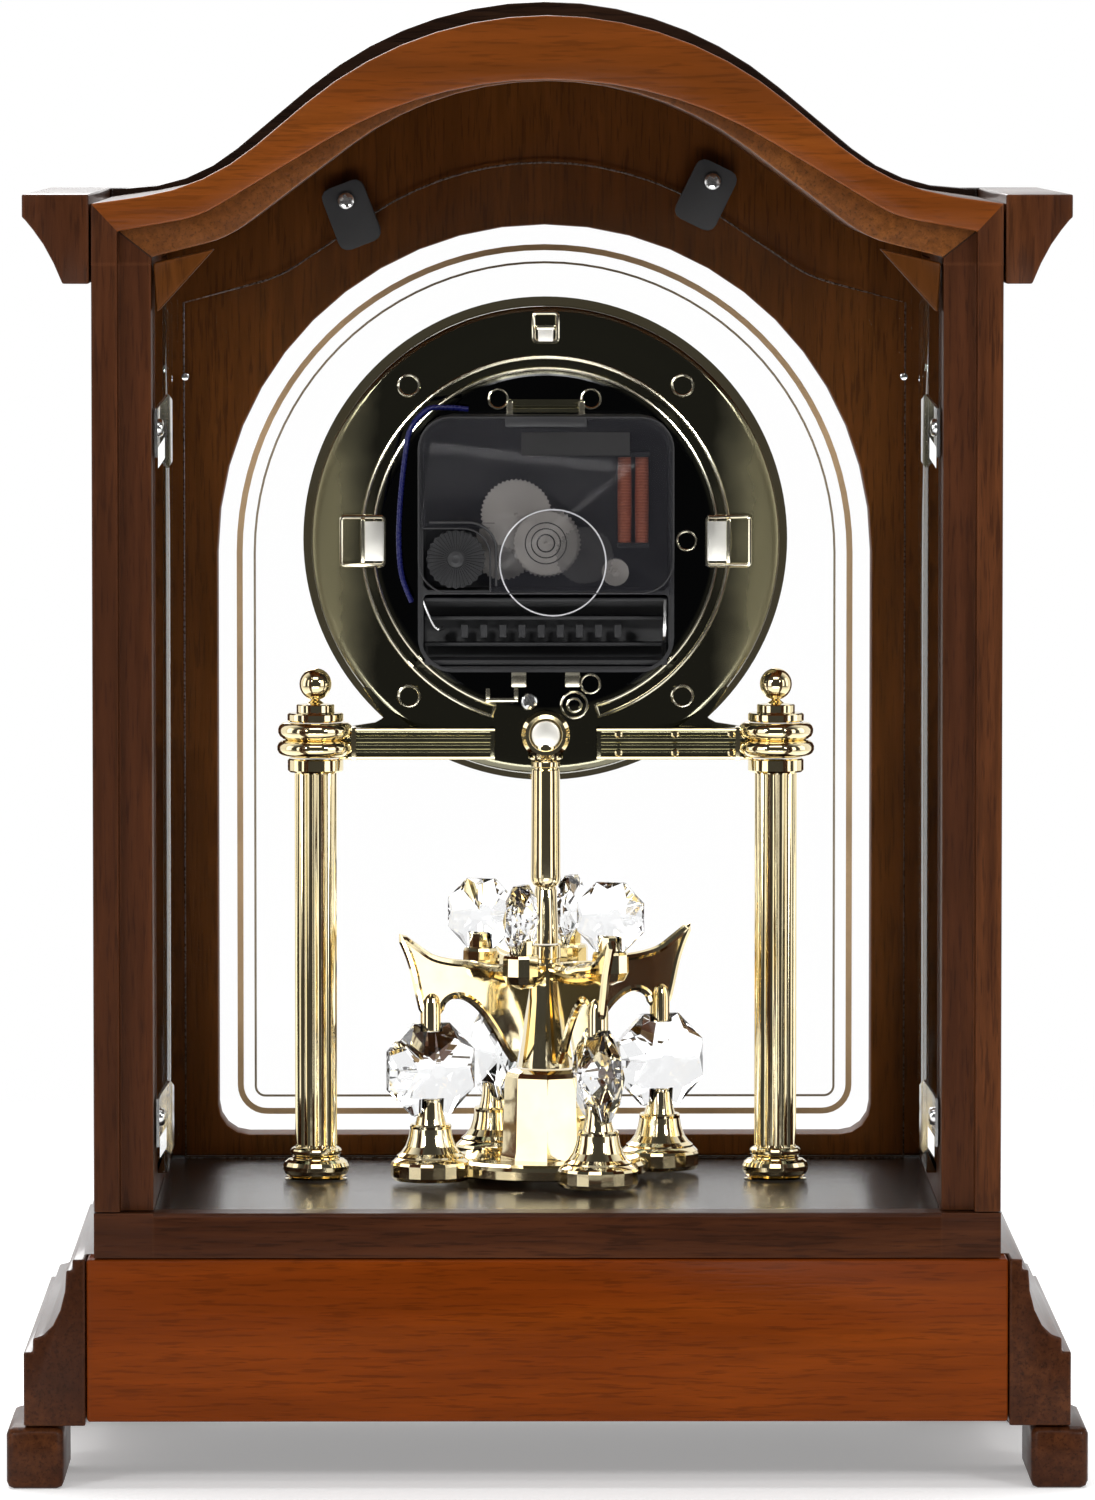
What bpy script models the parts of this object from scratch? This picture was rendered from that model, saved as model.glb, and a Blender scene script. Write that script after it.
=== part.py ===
"""Open-backed mantel clock with an ogee arched roof, a quartz movement and a revolving crystal pendulum.

Lengths in this file are millimetres, turned into metres by MM when geometry is made.
X runs across the clock, the front faces -Y, the open back faces +Y, and Z is up.
Left and right are as seen from behind the clock, so left is +X.
"""

from collections import namedtuple
from math import atan2, cos, degrees, hypot, pi, radians, sin, tan

import bmesh
import bpy
from mathutils import Matrix, Vector

MM = 0.001
GAP = 0.3  # clearance between neighbouring pieces
CUT_EXTRA = 2.0  # how far a cutter runs past the face it opens
WELD_DISTANCE = 0.00001  # metres
SHARP_DEG = 40.0  # edges sharper than this are rounded
SMALL_BEVEL = 0.5

# ---------------------------------------------------------------- case
REAR_Y = 69.5
BODY_HALF = 97.0
BODY_FRONT_Y = -50.5
FRONT_BOARD_THICKNESS = 10.0
INNER_FRONT_Y = BODY_FRONT_Y + FRONT_BOARD_THICKNESS
INNER_HALF = 84.3
SIDE_LIP = 5.6  # thickness of the side panel's outer lip at the rear
SIDE_REBATE = 3.5  # how far the inner part of the side panel stops short of the rear
SIDE_TOP_Z = 262.0
FLOOR_BOTTOM_Z = 49.8
FLOOR_TOP_Z = 59.4

FOOT_HEIGHT = 13.3
FOOT_OUTER = 115.9
FOOT_WIDTH = 12.3
FOOT_LENGTH = 37.0
FOOT_BEVEL = 1.6
BASE_BOTTOM_Z = FOOT_HEIGHT + GAP
BASE_TOP_Z = 49.5
BASE_INSET = -7.0  # the base mouldings reach this far under the floor board
BASE_REACH = 15.0
BASE_FASCIA_TOP_Z = 29.6
BASE_STEP = 2.0
BASE_STEP_TOP_Z = 32.5
BASE_COVE_TOP_Z = 47.2
BASE_COVE_REACH = 5.8
BASE_BEAD_REACH = 4.5
APRON_HALF = 98.6
APRON_THICKNESS = 10.0
APRON_BOTTOM_Z = 14.5

CORNICE_REACH = 14.5
CORNICE_FASCIA = 4.8
CORNICE_HEIGHT = 19.0
CORNICE_FOOT_REACH = 5.9

# An ogee arch: a round crown, a straight flank, a hollow shoulder and a straight run to the side.
Arch = namedtuple("Arch", "crown_z crown_radius flank_deg flank_end shoulder_radius slope_deg")
ROOF_ARCH = Arch(314.9, 80.0, 40.0, 62.0, 48.0, 8.0)
PEDIMENT_ARCH = Arch(318.7, 82.0, 40.0, 69.0, 38.0, 0.0)
RAIL_ARCH = Arch(301.3, 92.0, 31.0, 70.0, 25.0, 10.0)
SOFFIT_ARCH = Arch(301.0, 71.0, 37.0, 64.0, 25.0, 14.0)
GLASS_ARCH = Arch(283.0, 70.0, 34.0, 55.0, 30.0, 15.0)
CROWN_STEPS = 7
SHOULDER_STEPS = 4

RAIL_THICKNESS = 3.2
CORNER_BLOCK = ((83.9, 262.6), (83.1, 252.1), (70.9, 265.6))
CORNER_BLOCK_DEPTH = 10.0
CORNER_BLOCK_SETBACK = 1.0

OPENING_HALF = 73.2
OPENING_BOTTOM_Z = 64.7
OPENING_SPRING_Z = 195.7
OPENING_CORNER = 6.7
WINDOW_LOW = (-29.0, 73.0)  # y and z of the side window's corners
WINDOW_HIGH = (46.0, 252.0)
WINDOW_CORNER = 3.0

# ---------------------------------------------------------------- glazing
FRONT_GLASS_HALF = 80.8
FRONT_GLASS_THICKNESS = 2.4
SIDE_GLASS_THICKNESS = 2.2
SIDE_GLASS_LOW = (-34.0, 66.0)
SIDE_GLASS_HIGH = (51.0, 258.0)
CLIP_THICKNESS = 0.8
CLIP_LENGTH = 11.0  # behind the pane's rear edge
CLIP_BEND = 3.6  # from the pane's rear edge to the bend towards its face
CLIP_PRESS = 5.0  # how far the clip lies along the pane's face
CLIP_NOSE = 4.0  # length of the nose that lifts off the face
CLIP_NOSE_LIFT = 2.0
CLIP_HEIGHT = 16.0
CLIP_UPPER_Z = 226.0
CLIP_LOWER_Z = 78.0

BUTTON_WIDTH = 9.9
BUTTON_LENGTH = 14.5
BUTTON_CORNER = 2.2
BUTTON_THICKNESS = 3.4
BUTTON_SHORT_END = 3.9  # from the pivot to the button's near end
BUTTON_BOSS_RADIUS = 3.4
TURN_BUTTONS = (("left", 44.3, 274.3, 21.0), ("right", -37.4, 278.6, -26.0))

# ---------------------------------------------------------------- brass frame
AXIS_Y = 3.0  # plane of the columns, the beam and the pendulum
COLUMN_X = 50.6
BEAM_HALF = 44.2
BEAM_LOW_Z = 152.2
BEAM_HIGH_Z = 159.1
BEAM_FRONT_Y = -0.5
BEAM_REAR_Y = 5.5
HUB_Z = 157.7
HUB_RADIUS = 5.3
HUB_REAR_Y = 7.5
HUB_SETBACK = 0.4  # from the beam's front face to the hub's
STUD_RADIUS = 2.0
STUD_BORE = 2.3
PIVOT_RADIUS = 1.0
PIVOT_BORE = 1.4
PIVOT_TOP_Z = 155.5
BALL_RADIUS = 3.55
BALL_Z = 168.7

# ---------------------------------------------------------------- dial
DIAL_Z = 200.0
HOUSING_RADIUS = 51.5
HOUSING_WALL = 1.2
HOUSING_REAR_Y = -0.8
HOUSING_FRONT_Y = -12.0
DIAL_RADIUS = 49.0
DIAL_THICKNESS = 1.0
LENS_RADIUS = 50.0
LENS_THICKNESS = 1.5
BEZEL_RADIUS = 53.5
BEZEL_INNER = 44.5
BEZEL_DEPTH = 3.4
BEZEL_SLOPE = 3.0
BEZEL_EDGE = 1.1
CENTRE_HOLE = 3.0
HOUR_TUBE_RADIUS = 2.4
HOUR_TUBE_BORE = 1.4
MINUTE_ARBOR_RADIUS = 1.0
HAND_THICKNESS = 0.6
HAND_EYE_RADIUS = 3.2
HAND_TAIL = 3.0
HOUR_HAND_LENGTH = 26.0
HOUR_HAND_WIDTH = 1.6
MINUTE_HAND_LENGTH = 39.0
MINUTE_HAND_WIDTH = 1.4
SPADE_SHARE = 0.72  # where the spade is widest, along the hand
SPADE_REACH = 2.0
SPADE_NECK = 4.0
HOUR_HAND_Y = -4.7
MINUTE_HAND_Y = -6.5

# ---------------------------------------------------------------- movement
CASE_HALF = 28.0
CASE_CORNER = 7.5
CASE_FRONT_Y = -0.5
CASE_REAR_Y = 14.2
CASE_WALL = 1.2
COVER_THICKNESS = 1.0
DIVIDER_LOW_Z = 189.0
DIVIDER_HIGH_Z = 189.9
BAY_LOW_Z = 173.2
POCKET_LOW_X = 12.2
POCKET_HIGH_Z = 203.5
POCKET_FLOOR_Y = 10.5
KNOB_X = 19.7
KNOB_Z = 196.7
KNOB_RADIUS = 6.5
KNOB_RIBS = 24
KNOB_RIB_DEPTH = 0.35
KNOB_DEPTH = 3.4
KNOB_SHAFT_RADIUS = 1.1
KNOB_BORE = 1.4
ARBOR_RADIUS = 0.4
ARBOR_FRONT_Y = 1.0
MINUTE_ARBOR_REAR_Y = 6.8
MINUTE_PIN_RADIUS = 0.6
MINUTE_PIN_REAR_Y = 6.6
MAGNET_RADIUS = 3.0
MAGNET_LENGTH = 4.0
# Front and rear y of each wheel.
HOUR_PLANE = (1.1, 2.1)
MOTION_PLANE = (3.4, 4.6)
CENTER_PLANE = (5.4, 6.2)
THIRD_PLANE = (7.6, 8.4)
SECONDS_PLANE = (9.4, 10.2)
FIFTH_PLANE = (11.2, 12.0)
PINION_OVERLAP = 0.1  # a pinion runs this far into its wheel
TIP_CLEARANCE = 0.12  # tooth tips stop this far short of the pitch circle
TOOTH_HEIGHT = 0.5

CANNON_TEETH = 12
MINUTE_TEETH = 36
KNOB_TEETH = 18
MINUTE_PINION_TEETH = 10
HOUR_TEETH = 40
ROTOR_TEETH = 6
FIFTH_TEETH = 36
FIFTH_PINION_TEETH = 8
SECONDS_TEETH = 40
SECONDS_PINION_TEETH = 6
THIRD_TEETH = 48
THIRD_PINION_TEETH = 6
CENTER_TEETH = 45
THIRD_AXIS = (6.5, 206.24)
FIFTH_AXIS = (-8.5, 197.4)
ROTOR_AXIS = (-15.2, 193.6)
COIL_AXIS = (-19.1, 7.7)  # x and y
COIL_LOW_Z = 199.0
COIL_HIGH_Z = 220.0
WIRE_RADIUS = 0.6
WIRE_ROUTE = (
    (17.0, 7.0, 229.2),
    (21.5, 7.5, 229.6),
    (26.0, 8.5, 229.2),
    (29.6, 9.5, 225.0),
    (30.8, 9.0, 219.0),
    (31.8, 8.5, 210.0),
    (32.2, 8.0, 201.0),
    (31.6, 7.6, 193.0),
    (29.4, 7.4, 187.0),
)

# ---------------------------------------------------------------- pendulum
PENDULUM_SIDES = 4
PENDULUM_LOW_Z = 60.5
LOWER_START_DEG = 114.0
UPPER_START_DEG = 69.0
LOWER_RADIUS = 27.7  # distance of the lower crystals from the axis
UPPER_RADIUS = 15.2
LOWER_CRYSTAL_Z = 84.8
UPPER_CRYSTAL_Z = 117.8
LOWER_CRYSTAL_RADIUS = 10.7
UPPER_CRYSTAL_RADIUS = 8.0
LOWER_CRYSTAL_DEPTH = 8.6
UPPER_CRYSTAL_DEPTH = 6.6
CRYSTAL_SIDES = 8
CRYSTAL_TABLE = 0.55  # share of the crystal's radius
CRYSTAL_GIRDLE = 0.24  # share of the crystal's depth
CUP_RADIUS = 2.7
CUP_TOP_Z = 78.5
CAP_LOW_Z = 93.3
UPPER_CUP_TOP_Z = 113.7
FIN_THICKNESS = 2.4
ARM_START = 2.0
ARM_LOW_Z = 103.6
ARM_HIGH_Z = 107.0
ROSETTE_RADIUS = 23.0
# A fin's outline as distance from the axis and height, starting at the hub's top.
FIN_OUTLINE = (
    (3.0, 106.4), (13.0, 105.4), (18.0, 108.2), (27.5, 108.7), (34.8, 114.1),
    (31.8, 107.6), (30.0, 100.0), (29.2, 97.5), (25.4, 97.5), (21.0, 97.0),
    (19.6, 100.8), (14.0, 97.0), (10.0, 91.0), (7.7, 85.7), (3.0, 85.7),
)


def new_collection(name):
    """A collection linked to the scene."""
    collection = bpy.data.collections.new(name)
    bpy.context.scene.collection.children.link(collection)
    return collection


def material(name, colour, roughness, metallic=0.0, alpha=1.0):
    """A Principled material with a plain colour."""
    result = bpy.data.materials.new(name)
    result.use_nodes = True
    shader = result.node_tree.nodes["Principled BSDF"]
    shader.inputs["Base Color"].default_value = (*colour, 1.0)
    shader.inputs["Roughness"].default_value = roughness
    shader.inputs["Metallic"].default_value = metallic
    shader.inputs["Alpha"].default_value = alpha
    return result


for stale in list(bpy.data.objects):
    bpy.data.objects.remove(stale, do_unlink=True)

PARTS = new_collection("mantel_clock")
CUTTERS = new_collection("cutters")

ORANGE_WOOD = material("orange_wood", (0.195, 0.042, 0.010), 0.3)
RED_WOOD = material("red_wood", (0.060, 0.018, 0.009), 0.3)
BROWN_WOOD = material("brown_wood", (0.048, 0.018, 0.008), 0.35)
DARK_WOOD = material("dark_wood", (0.020, 0.010, 0.008), 0.3)
GLASS = material("glass", (0.90, 0.93, 0.92), 0.03, alpha=0.3)
BRASS = material("brass", (0.83, 0.62, 0.27), 0.18, metallic=1.0)
SMOKED_BRASS = material("smoked_brass", (0.24, 0.20, 0.10), 0.3, metallic=1.0)
STEEL = material("steel", (0.66, 0.66, 0.66), 0.3, metallic=1.0)
BLACK_PLASTIC = material("black_plastic", (0.012, 0.012, 0.013), 0.35)
SMOKE_PLASTIC = material("smoke_plastic", (0.03, 0.03, 0.035), 0.15, alpha=0.5)
WHITE_PLASTIC = material("white_plastic", (0.75, 0.74, 0.70), 0.4)
COPPER = material("copper_wire", (0.72, 0.22, 0.08), 0.35, metallic=1.0)
BLUE_PLASTIC = material("blue_plastic", (0.02, 0.10, 0.50), 0.4)
IVORY_DIAL = material("ivory_dial", (0.86, 0.84, 0.76), 0.4)
HAND_BLACK = material("hand_black", (0.01, 0.01, 0.01), 0.3)
CRYSTAL = material("crystal", (0.92, 0.95, 0.97), 0.02, alpha=0.45)


# ---------------------------------------------------------------- shape helpers
def add(name, data, surface, location=(0.0, 0.0, 0.0)):
    """Link an object to the parts at a location in millimetres."""
    obj = bpy.data.objects.new(name, data)
    PARTS.objects.link(obj)
    obj.location = Vector(location) * MM
    data.materials.append(surface)
    return obj


def box(name, low, high, surface, bevel=0.0):
    """A box between two corners, with its edges rounded when bevel is given."""
    low = Vector(low)
    high = Vector(high)
    mesh = bpy.data.meshes.new(name)
    body = bmesh.new()
    bmesh.ops.create_cube(body, size=1.0)
    bmesh.ops.scale(body, vec=(high - low) * MM, verts=body.verts)
    body.to_mesh(mesh)
    body.free()
    obj = add(name, mesh, surface, (low + high) / 2.0)
    if bevel:
        round_edges(obj, bevel)
    return obj


def round_edges(obj, width, segments=2):
    """A Bevel modifier on the sharp edges."""
    bevel = obj.modifiers.new("round_edges", "BEVEL")
    bevel.width = width * MM
    bevel.segments = segments
    bevel.limit_method = "ANGLE"
    bevel.angle_limit = radians(SHARP_DEG)


FACING = {
    "x": Matrix(((0, 0, 1), (1, 0, 0), (0, 1, 0))),
    "y": Matrix(((1, 0, 0), (0, 0, -1), (0, 1, 0))),
    "z": Matrix.Identity(3),
}


def plate(name, outlines, thickness, location, surface, facing="y"):
    """A flat plate from one or more closed outlines; facing is the axis square to it.

    Outline points are (x, z) for a plate that faces y, (y, z) for x, and (x, y) for z.
    """
    curve = bpy.data.curves.new(name, "CURVE")
    curve.dimensions = "2D"
    curve.fill_mode = "BOTH"
    curve.extrude = thickness / 2.0 * MM
    for outline in outlines:
        spline = curve.splines.new("POLY")
        spline.points.add(len(outline) - 1)
        for point, (across, up) in zip(spline.points, outline):
            point.co = (across * MM, up * MM, 0.0, 1.0)
        spline.use_cyclic_u = True
    obj = add(name, curve, surface, location)
    obj.rotation_euler = FACING[facing].to_euler()
    return obj


def as_mesh(curve_object):
    """The same object as a welded mesh, which modifiers can cut and join."""
    bpy.context.view_layer.update()
    source = curve_object.evaluated_get(bpy.context.evaluated_depsgraph_get())
    mesh = bpy.data.meshes.new_from_object(source)
    body = bmesh.new()
    body.from_mesh(mesh)
    bmesh.ops.remove_doubles(body, verts=body.verts, dist=WELD_DISTANCE)
    body.to_mesh(mesh)
    body.free()
    name = curve_object.name
    placed = curve_object.matrix_world.copy()
    bpy.data.objects.remove(curve_object, do_unlink=True)
    obj = bpy.data.objects.new(name, mesh)
    PARTS.objects.link(obj)
    obj.matrix_world = placed
    return obj


def turned(name, profile, location, surface, steps=24, along="z", closed=False):
    """A turned piece: profile lists (radius, height) from the top down the outer side.

    Along y the heights are y values, listed from the front to the rear.
    A closed profile is a ring's section, and an open one starts and ends on the axis.
    """
    sign = -1.0 if along == "y" else 1.0
    mesh = bpy.data.meshes.new(name)
    body = bmesh.new()
    corners = [body.verts.new((radius * MM, 0.0, sign * height * MM)) for radius, height in profile]
    for first, second in zip(corners, corners[1:]):
        body.edges.new((first, second))
    if closed:
        body.edges.new((corners[-1], corners[0]))
    body.to_mesh(mesh)
    body.free()
    obj = add(name, mesh, surface, location)
    if along == "y":
        obj.rotation_euler = (pi / 2.0, 0.0, 0.0)
    screw = obj.modifiers.new("turn", "SCREW")
    screw.angle = 2.0 * pi
    screw.steps = steps
    screw.render_steps = steps
    screw.use_merge_vertices = True
    screw.merge_threshold = 2.0 * WELD_DISTANCE
    return obj


def rod(name, radius, start, end, location, surface, steps=16, along="y"):
    """A plain round bar between two heights along its axis."""
    first, last = (end, start) if along == "z" else (start, end)
    profile = [(0.0, first), (radius, first), (radius, last), (0.0, last)]
    return turned(name, profile, location, surface, steps, along)


def loft(name, rows, surface):
    """A closed solid whose section's corners run along the rows, which are equally long."""
    mesh = bpy.data.meshes.new(name)
    body = bmesh.new()
    grid = [[body.verts.new(Vector(point) * MM) for point in row] for row in rows]
    for row, after in zip(grid, grid[1:] + grid[:1]):
        for index in range(len(row) - 1):
            body.faces.new((row[index], row[index + 1], after[index + 1], after[index]))
    body.faces.new([row[0] for row in grid])
    body.faces.new([row[-1] for row in reversed(grid)])
    bmesh.ops.recalc_face_normals(body, faces=body.faces)
    body.to_mesh(mesh)
    body.free()
    return add(name, mesh, surface)


def combine(target, others, operation):
    """Join or cut the target with other objects, which move to the cutters."""
    for other in others:
        PARTS.objects.unlink(other)
        CUTTERS.objects.link(other)
        other.hide_render = True
        other.display_type = "WIRE"
        step = target.modifiers.new(operation.lower(), "BOOLEAN")
        step.operation = operation
        step.solver = "EXACT"
        step.object = other
    return target


def fuse(target, *others):
    """One body from overlapping pieces."""
    return combine(target, others, "UNION")


def cut(target, *others):
    """The target with the other pieces' space taken out."""
    return combine(target, others, "DIFFERENCE")


def arc(centre, radius, start_deg, end_deg, steps):
    """Points along a circle's arc."""
    points = []
    for step in range(steps + 1):
        angle = radians(start_deg + (end_deg - start_deg) * step / steps)
        points.append((centre[0] + radius * cos(angle), centre[1] + radius * sin(angle)))
    return points


def circle(centre, radius, count):
    """A closed circular outline."""
    return arc(centre, radius, 0.0, 360.0, count)[:-1]


def rounded_box(low, high, radius, steps=4):
    """A rectangular outline with round corners."""
    points = arc((high[0] - radius, high[1] - radius), radius, 0.0, 90.0, steps)
    points += arc((low[0] + radius, high[1] - radius), radius, 90.0, 180.0, steps)
    points += arc((low[0] + radius, low[1] + radius), radius, 180.0, 270.0, steps)
    points += arc((high[0] - radius, low[1] + radius), radius, 270.0, 360.0, steps)
    return points


def arch_half(arch, half_width, drop=0.0):
    """Half an arch from the crown to +half_width, lowered squarely to itself by drop."""
    flank = radians(arch.flank_deg)
    slope = radians(arch.slope_deg)
    outward = Vector((sin(flank), cos(flank)))
    crown_centre = Vector((0.0, arch.crown_z - arch.crown_radius))
    knee = crown_centre + outward * arch.crown_radius
    flank_foot = knee + Vector((cos(flank), -sin(flank))) * (arch.flank_end - knee.x) / cos(flank)
    shoulder_centre = flank_foot + outward * arch.shoulder_radius
    points = []
    for step in range(CROWN_STEPS + 1):
        angle = flank * step / CROWN_STEPS
        points.append(crown_centre + Vector((sin(angle), cos(angle))) * (arch.crown_radius - drop))
    for step in range(SHOULDER_STEPS + 1):
        angle = flank + (slope - flank) * step / SHOULDER_STEPS
        points.append(shoulder_centre - Vector((sin(angle), cos(angle))) * (arch.shoulder_radius + drop))
    last = points[-1]
    points.append(Vector((half_width, last.y - (half_width - last.x) * tan(slope))))
    return [(point.x, point.y) for point in points]


def arch_curve(arch, half_width, drop=0.0):
    """A whole arch from +half_width to -half_width."""
    half = arch_half(arch, half_width, drop)
    return half[::-1] + [(-across, up) for across, up in half[1:]]


def cove(start, end, steps=5):
    """A hollow quarter curve that leaves start level and reaches end upright."""
    points = []
    for step in range(steps + 1):
        angle = pi / 2.0 * step / steps
        across = start[0] + (end[0] - start[0]) * sin(angle)
        up = start[1] + (end[1] - start[1]) * (1.0 - cos(angle))
        points.append((across, up))
    return points


# ---------------------------------------------------------------- wooden case
def base_section():
    """The base moulding's section as (reach from the case side, height)."""
    points = [(BASE_INSET, BASE_BOTTOM_Z), (BASE_REACH, BASE_BOTTOM_Z), (BASE_REACH, BASE_FASCIA_TOP_Z)]
    step_reach = BASE_REACH - BASE_STEP
    points.append((step_reach, BASE_FASCIA_TOP_Z))
    points += cove((step_reach, BASE_STEP_TOP_Z), (BASE_COVE_REACH, BASE_COVE_TOP_Z))
    points += [(BASE_BEAD_REACH, BASE_COVE_TOP_Z), (BASE_BEAD_REACH, BASE_TOP_Z), (BASE_INSET, BASE_TOP_Z)]
    return points


def cornice_section():
    """The cornice's section as (reach from the case side, drop below its top)."""
    points = [(GAP, 0.0), (CORNICE_REACH, 0.0)]
    points += cove((CORNICE_REACH, CORNICE_FASCIA), (CORNICE_FOOT_REACH, CORNICE_HEIGHT))
    points.append((GAP, CORNICE_HEIGHT))
    return points


def build_base():
    """Feet, mitred base mouldings, the rear apron and the floor board."""
    for side, name in ((1.0, "left"), (-1.0, "right")):
        rows = []
        for reach, height in base_section():
            across = side * (BODY_HALF + reach + GAP / 2.0)
            rows.append([(across, REAR_Y, height), (across, BODY_FRONT_Y - reach, height)])
        moulding = loft(f"base_moulding_{name}", rows, RED_WOOD)
        inner = sorted((side * (BODY_HALF + BASE_INSET - CUT_EXTRA), side * (APRON_HALF + GAP)))
        notch = box(
            f"apron_notch_{name}",
            (inner[0], REAR_Y - APRON_THICKNESS - GAP, BASE_BOTTOM_Z - CUT_EXTRA),
            (inner[1], REAR_Y + CUT_EXTRA, BASE_TOP_Z + CUT_EXTRA),
            RED_WOOD,
        )
        cut(moulding, notch)
        outer = side * FOOT_OUTER
        inside = side * (FOOT_OUTER - FOOT_WIDTH)
        low_x, high_x = sorted((outer, inside))
        box(
            f"foot_rear_{name}",
            (low_x, REAR_Y - FOOT_LENGTH, 0.0),
            (high_x, REAR_Y, FOOT_HEIGHT),
            RED_WOOD,
            FOOT_BEVEL,
        )
        bracket = [
            (outer, -REAR_Y),
            (outer, -REAR_Y + FOOT_LENGTH),
            (inside, -REAR_Y + FOOT_LENGTH),
            (inside, -REAR_Y + FOOT_WIDTH),
            (outer - side * FOOT_LENGTH, -REAR_Y + FOOT_WIDTH),
            (outer - side * FOOT_LENGTH, -REAR_Y),
        ]
        place = (0.0, 0.0, FOOT_HEIGHT / 2.0)
        foot = plate(f"foot_front_{name}", [bracket], FOOT_HEIGHT, place, RED_WOOD, "z")
        round_edges(as_mesh(foot), FOOT_BEVEL)
    rows = []
    for reach, height in base_section():
        across = BODY_HALF + reach - GAP / 2.0
        front = BODY_FRONT_Y - reach
        rows.append([(-across, front, height), (across, front, height)])
    loft("base_moulding_front", rows, RED_WOOD)
    box(
        "rear_apron",
        (-APRON_HALF, REAR_Y - APRON_THICKNESS, APRON_BOTTOM_Z),
        (APRON_HALF, REAR_Y, BASE_TOP_Z),
        ORANGE_WOOD,
        SMALL_BEVEL,
    )
    box(
        "floor_board",
        (-BODY_HALF, BODY_FRONT_Y, FLOOR_BOTTOM_Z),
        (BODY_HALF, REAR_Y, FLOOR_TOP_Z),
        DARK_WOOD,
        SMALL_BEVEL,
    )


def build_sides():
    """Side panels with a window each, rebated at the rear."""
    front = INNER_FRONT_Y + GAP
    window = rounded_box(WINDOW_LOW, WINDOW_HIGH, WINDOW_CORNER, 2)
    for side, name in ((1.0, "left"), (-1.0, "right")):
        outline = [
            (front, FLOOR_TOP_Z + GAP),
            (REAR_Y, FLOOR_TOP_Z + GAP),
            (REAR_Y, SIDE_TOP_Z),
            (front, SIDE_TOP_Z),
        ]
        middle = side * (BODY_HALF + INNER_HALF) / 2.0
        panel = plate(
            f"side_panel_{name}",
            [outline, window],
            BODY_HALF - INNER_HALF,
            (middle, 0.0, 0.0),
            RED_WOOD,
            "x",
        )
        panel = as_mesh(panel)
        inner = sorted((side * (INNER_HALF - CUT_EXTRA), side * (BODY_HALF - SIDE_LIP)))
        rebate = box(
            f"rear_rebate_{name}",
            (inner[0], REAR_Y - SIDE_REBATE, FLOOR_TOP_Z - CUT_EXTRA),
            (inner[1], REAR_Y + CUT_EXTRA, SIDE_TOP_Z + CUT_EXTRA),
            RED_WOOD,
        )
        cut(panel, rebate)


def build_front():
    """The front board with its arched opening and the mitred pediment moulding."""
    outline = arch_curve(ROOF_ARCH, BODY_HALF)
    outline += [(-BODY_HALF, FLOOR_TOP_Z + GAP), (BODY_HALF, FLOOR_TOP_Z + GAP)]
    opening = arc((0.0, OPENING_SPRING_Z), OPENING_HALF, 0.0, 180.0, 24)
    low = OPENING_BOTTOM_Z + OPENING_CORNER
    corner = OPENING_HALF - OPENING_CORNER
    opening += arc((-corner, low), OPENING_CORNER, 180.0, 270.0, 4)
    opening += arc((corner, low), OPENING_CORNER, 270.0, 360.0, 4)
    middle = BODY_FRONT_Y + FRONT_BOARD_THICKNESS / 2.0
    plate("front_board", [outline, opening], FRONT_BOARD_THICKNESS, (0.0, middle, 0.0), BROWN_WOOD)
    rows = []
    for reach, drop in cornice_section():
        curve = arch_curve(PEDIMENT_ARCH, BODY_HALF + reach - GAP / 2.0, drop)
        rows.append([(across, BODY_FRONT_Y - reach, up) for across, up in curve])
    loft("front_pediment", rows, DARK_WOOD)


def build_roof():
    """The solid roof block, the rear arch rail, corner blocks and side cornices."""
    underside = arch_curve(SOFFIT_ARCH, INNER_HALF)
    outline = arch_curve(ROOF_ARCH, BODY_HALF)
    outline += [(-BODY_HALF, SIDE_TOP_Z + GAP), (-INNER_HALF, SIDE_TOP_Z + GAP)]
    outline += underside[::-1]
    outline += [(INNER_HALF, SIDE_TOP_Z + GAP), (BODY_HALF, SIDE_TOP_Z + GAP)]
    front = INNER_FRONT_Y + GAP
    rear = REAR_Y - RAIL_THICKNESS - GAP
    plate("roof_block", [outline], rear - front, (0.0, (front + rear) / 2.0, 0.0), DARK_WOOD)
    lip = BODY_HALF - SIDE_LIP
    rail = arch_curve(ROOF_ARCH, BODY_HALF)
    rail += [(-BODY_HALF, SIDE_TOP_Z + GAP), (-lip, SIDE_TOP_Z + GAP)]
    rail += arch_curve(RAIL_ARCH, lip)[::-1]
    rail += [(lip, SIDE_TOP_Z + GAP), (BODY_HALF, SIDE_TOP_Z + GAP)]
    plate("rear_arch_rail", [rail], RAIL_THICKNESS, (0.0, REAR_Y - RAIL_THICKNESS / 2.0, 0.0), ORANGE_WOOD)
    top = arch_half(PEDIMENT_ARCH, BODY_HALF)[-1][1]
    for side, name in ((1.0, "left"), (-1.0, "right")):
        rows = []
        for reach, drop in cornice_section():
            across = side * (BODY_HALF + reach + GAP / 2.0)
            rows.append([(across, REAR_Y, top - drop), (across, BODY_FRONT_Y - reach, top - drop)])
        loft(f"side_cornice_{name}", rows, DARK_WOOD)
        corners = [(side * across, up - GAP) for across, up in CORNER_BLOCK]
        block_y = rear - CORNER_BLOCK_SETBACK - CORNER_BLOCK_DEPTH / 2.0
        place = (0.0, block_y, 0.0)
        block = plate(f"corner_block_{name}", [corners], CORNER_BLOCK_DEPTH, place, BROWN_WOOD)
        round_edges(as_mesh(block), SMALL_BEVEL)


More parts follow.
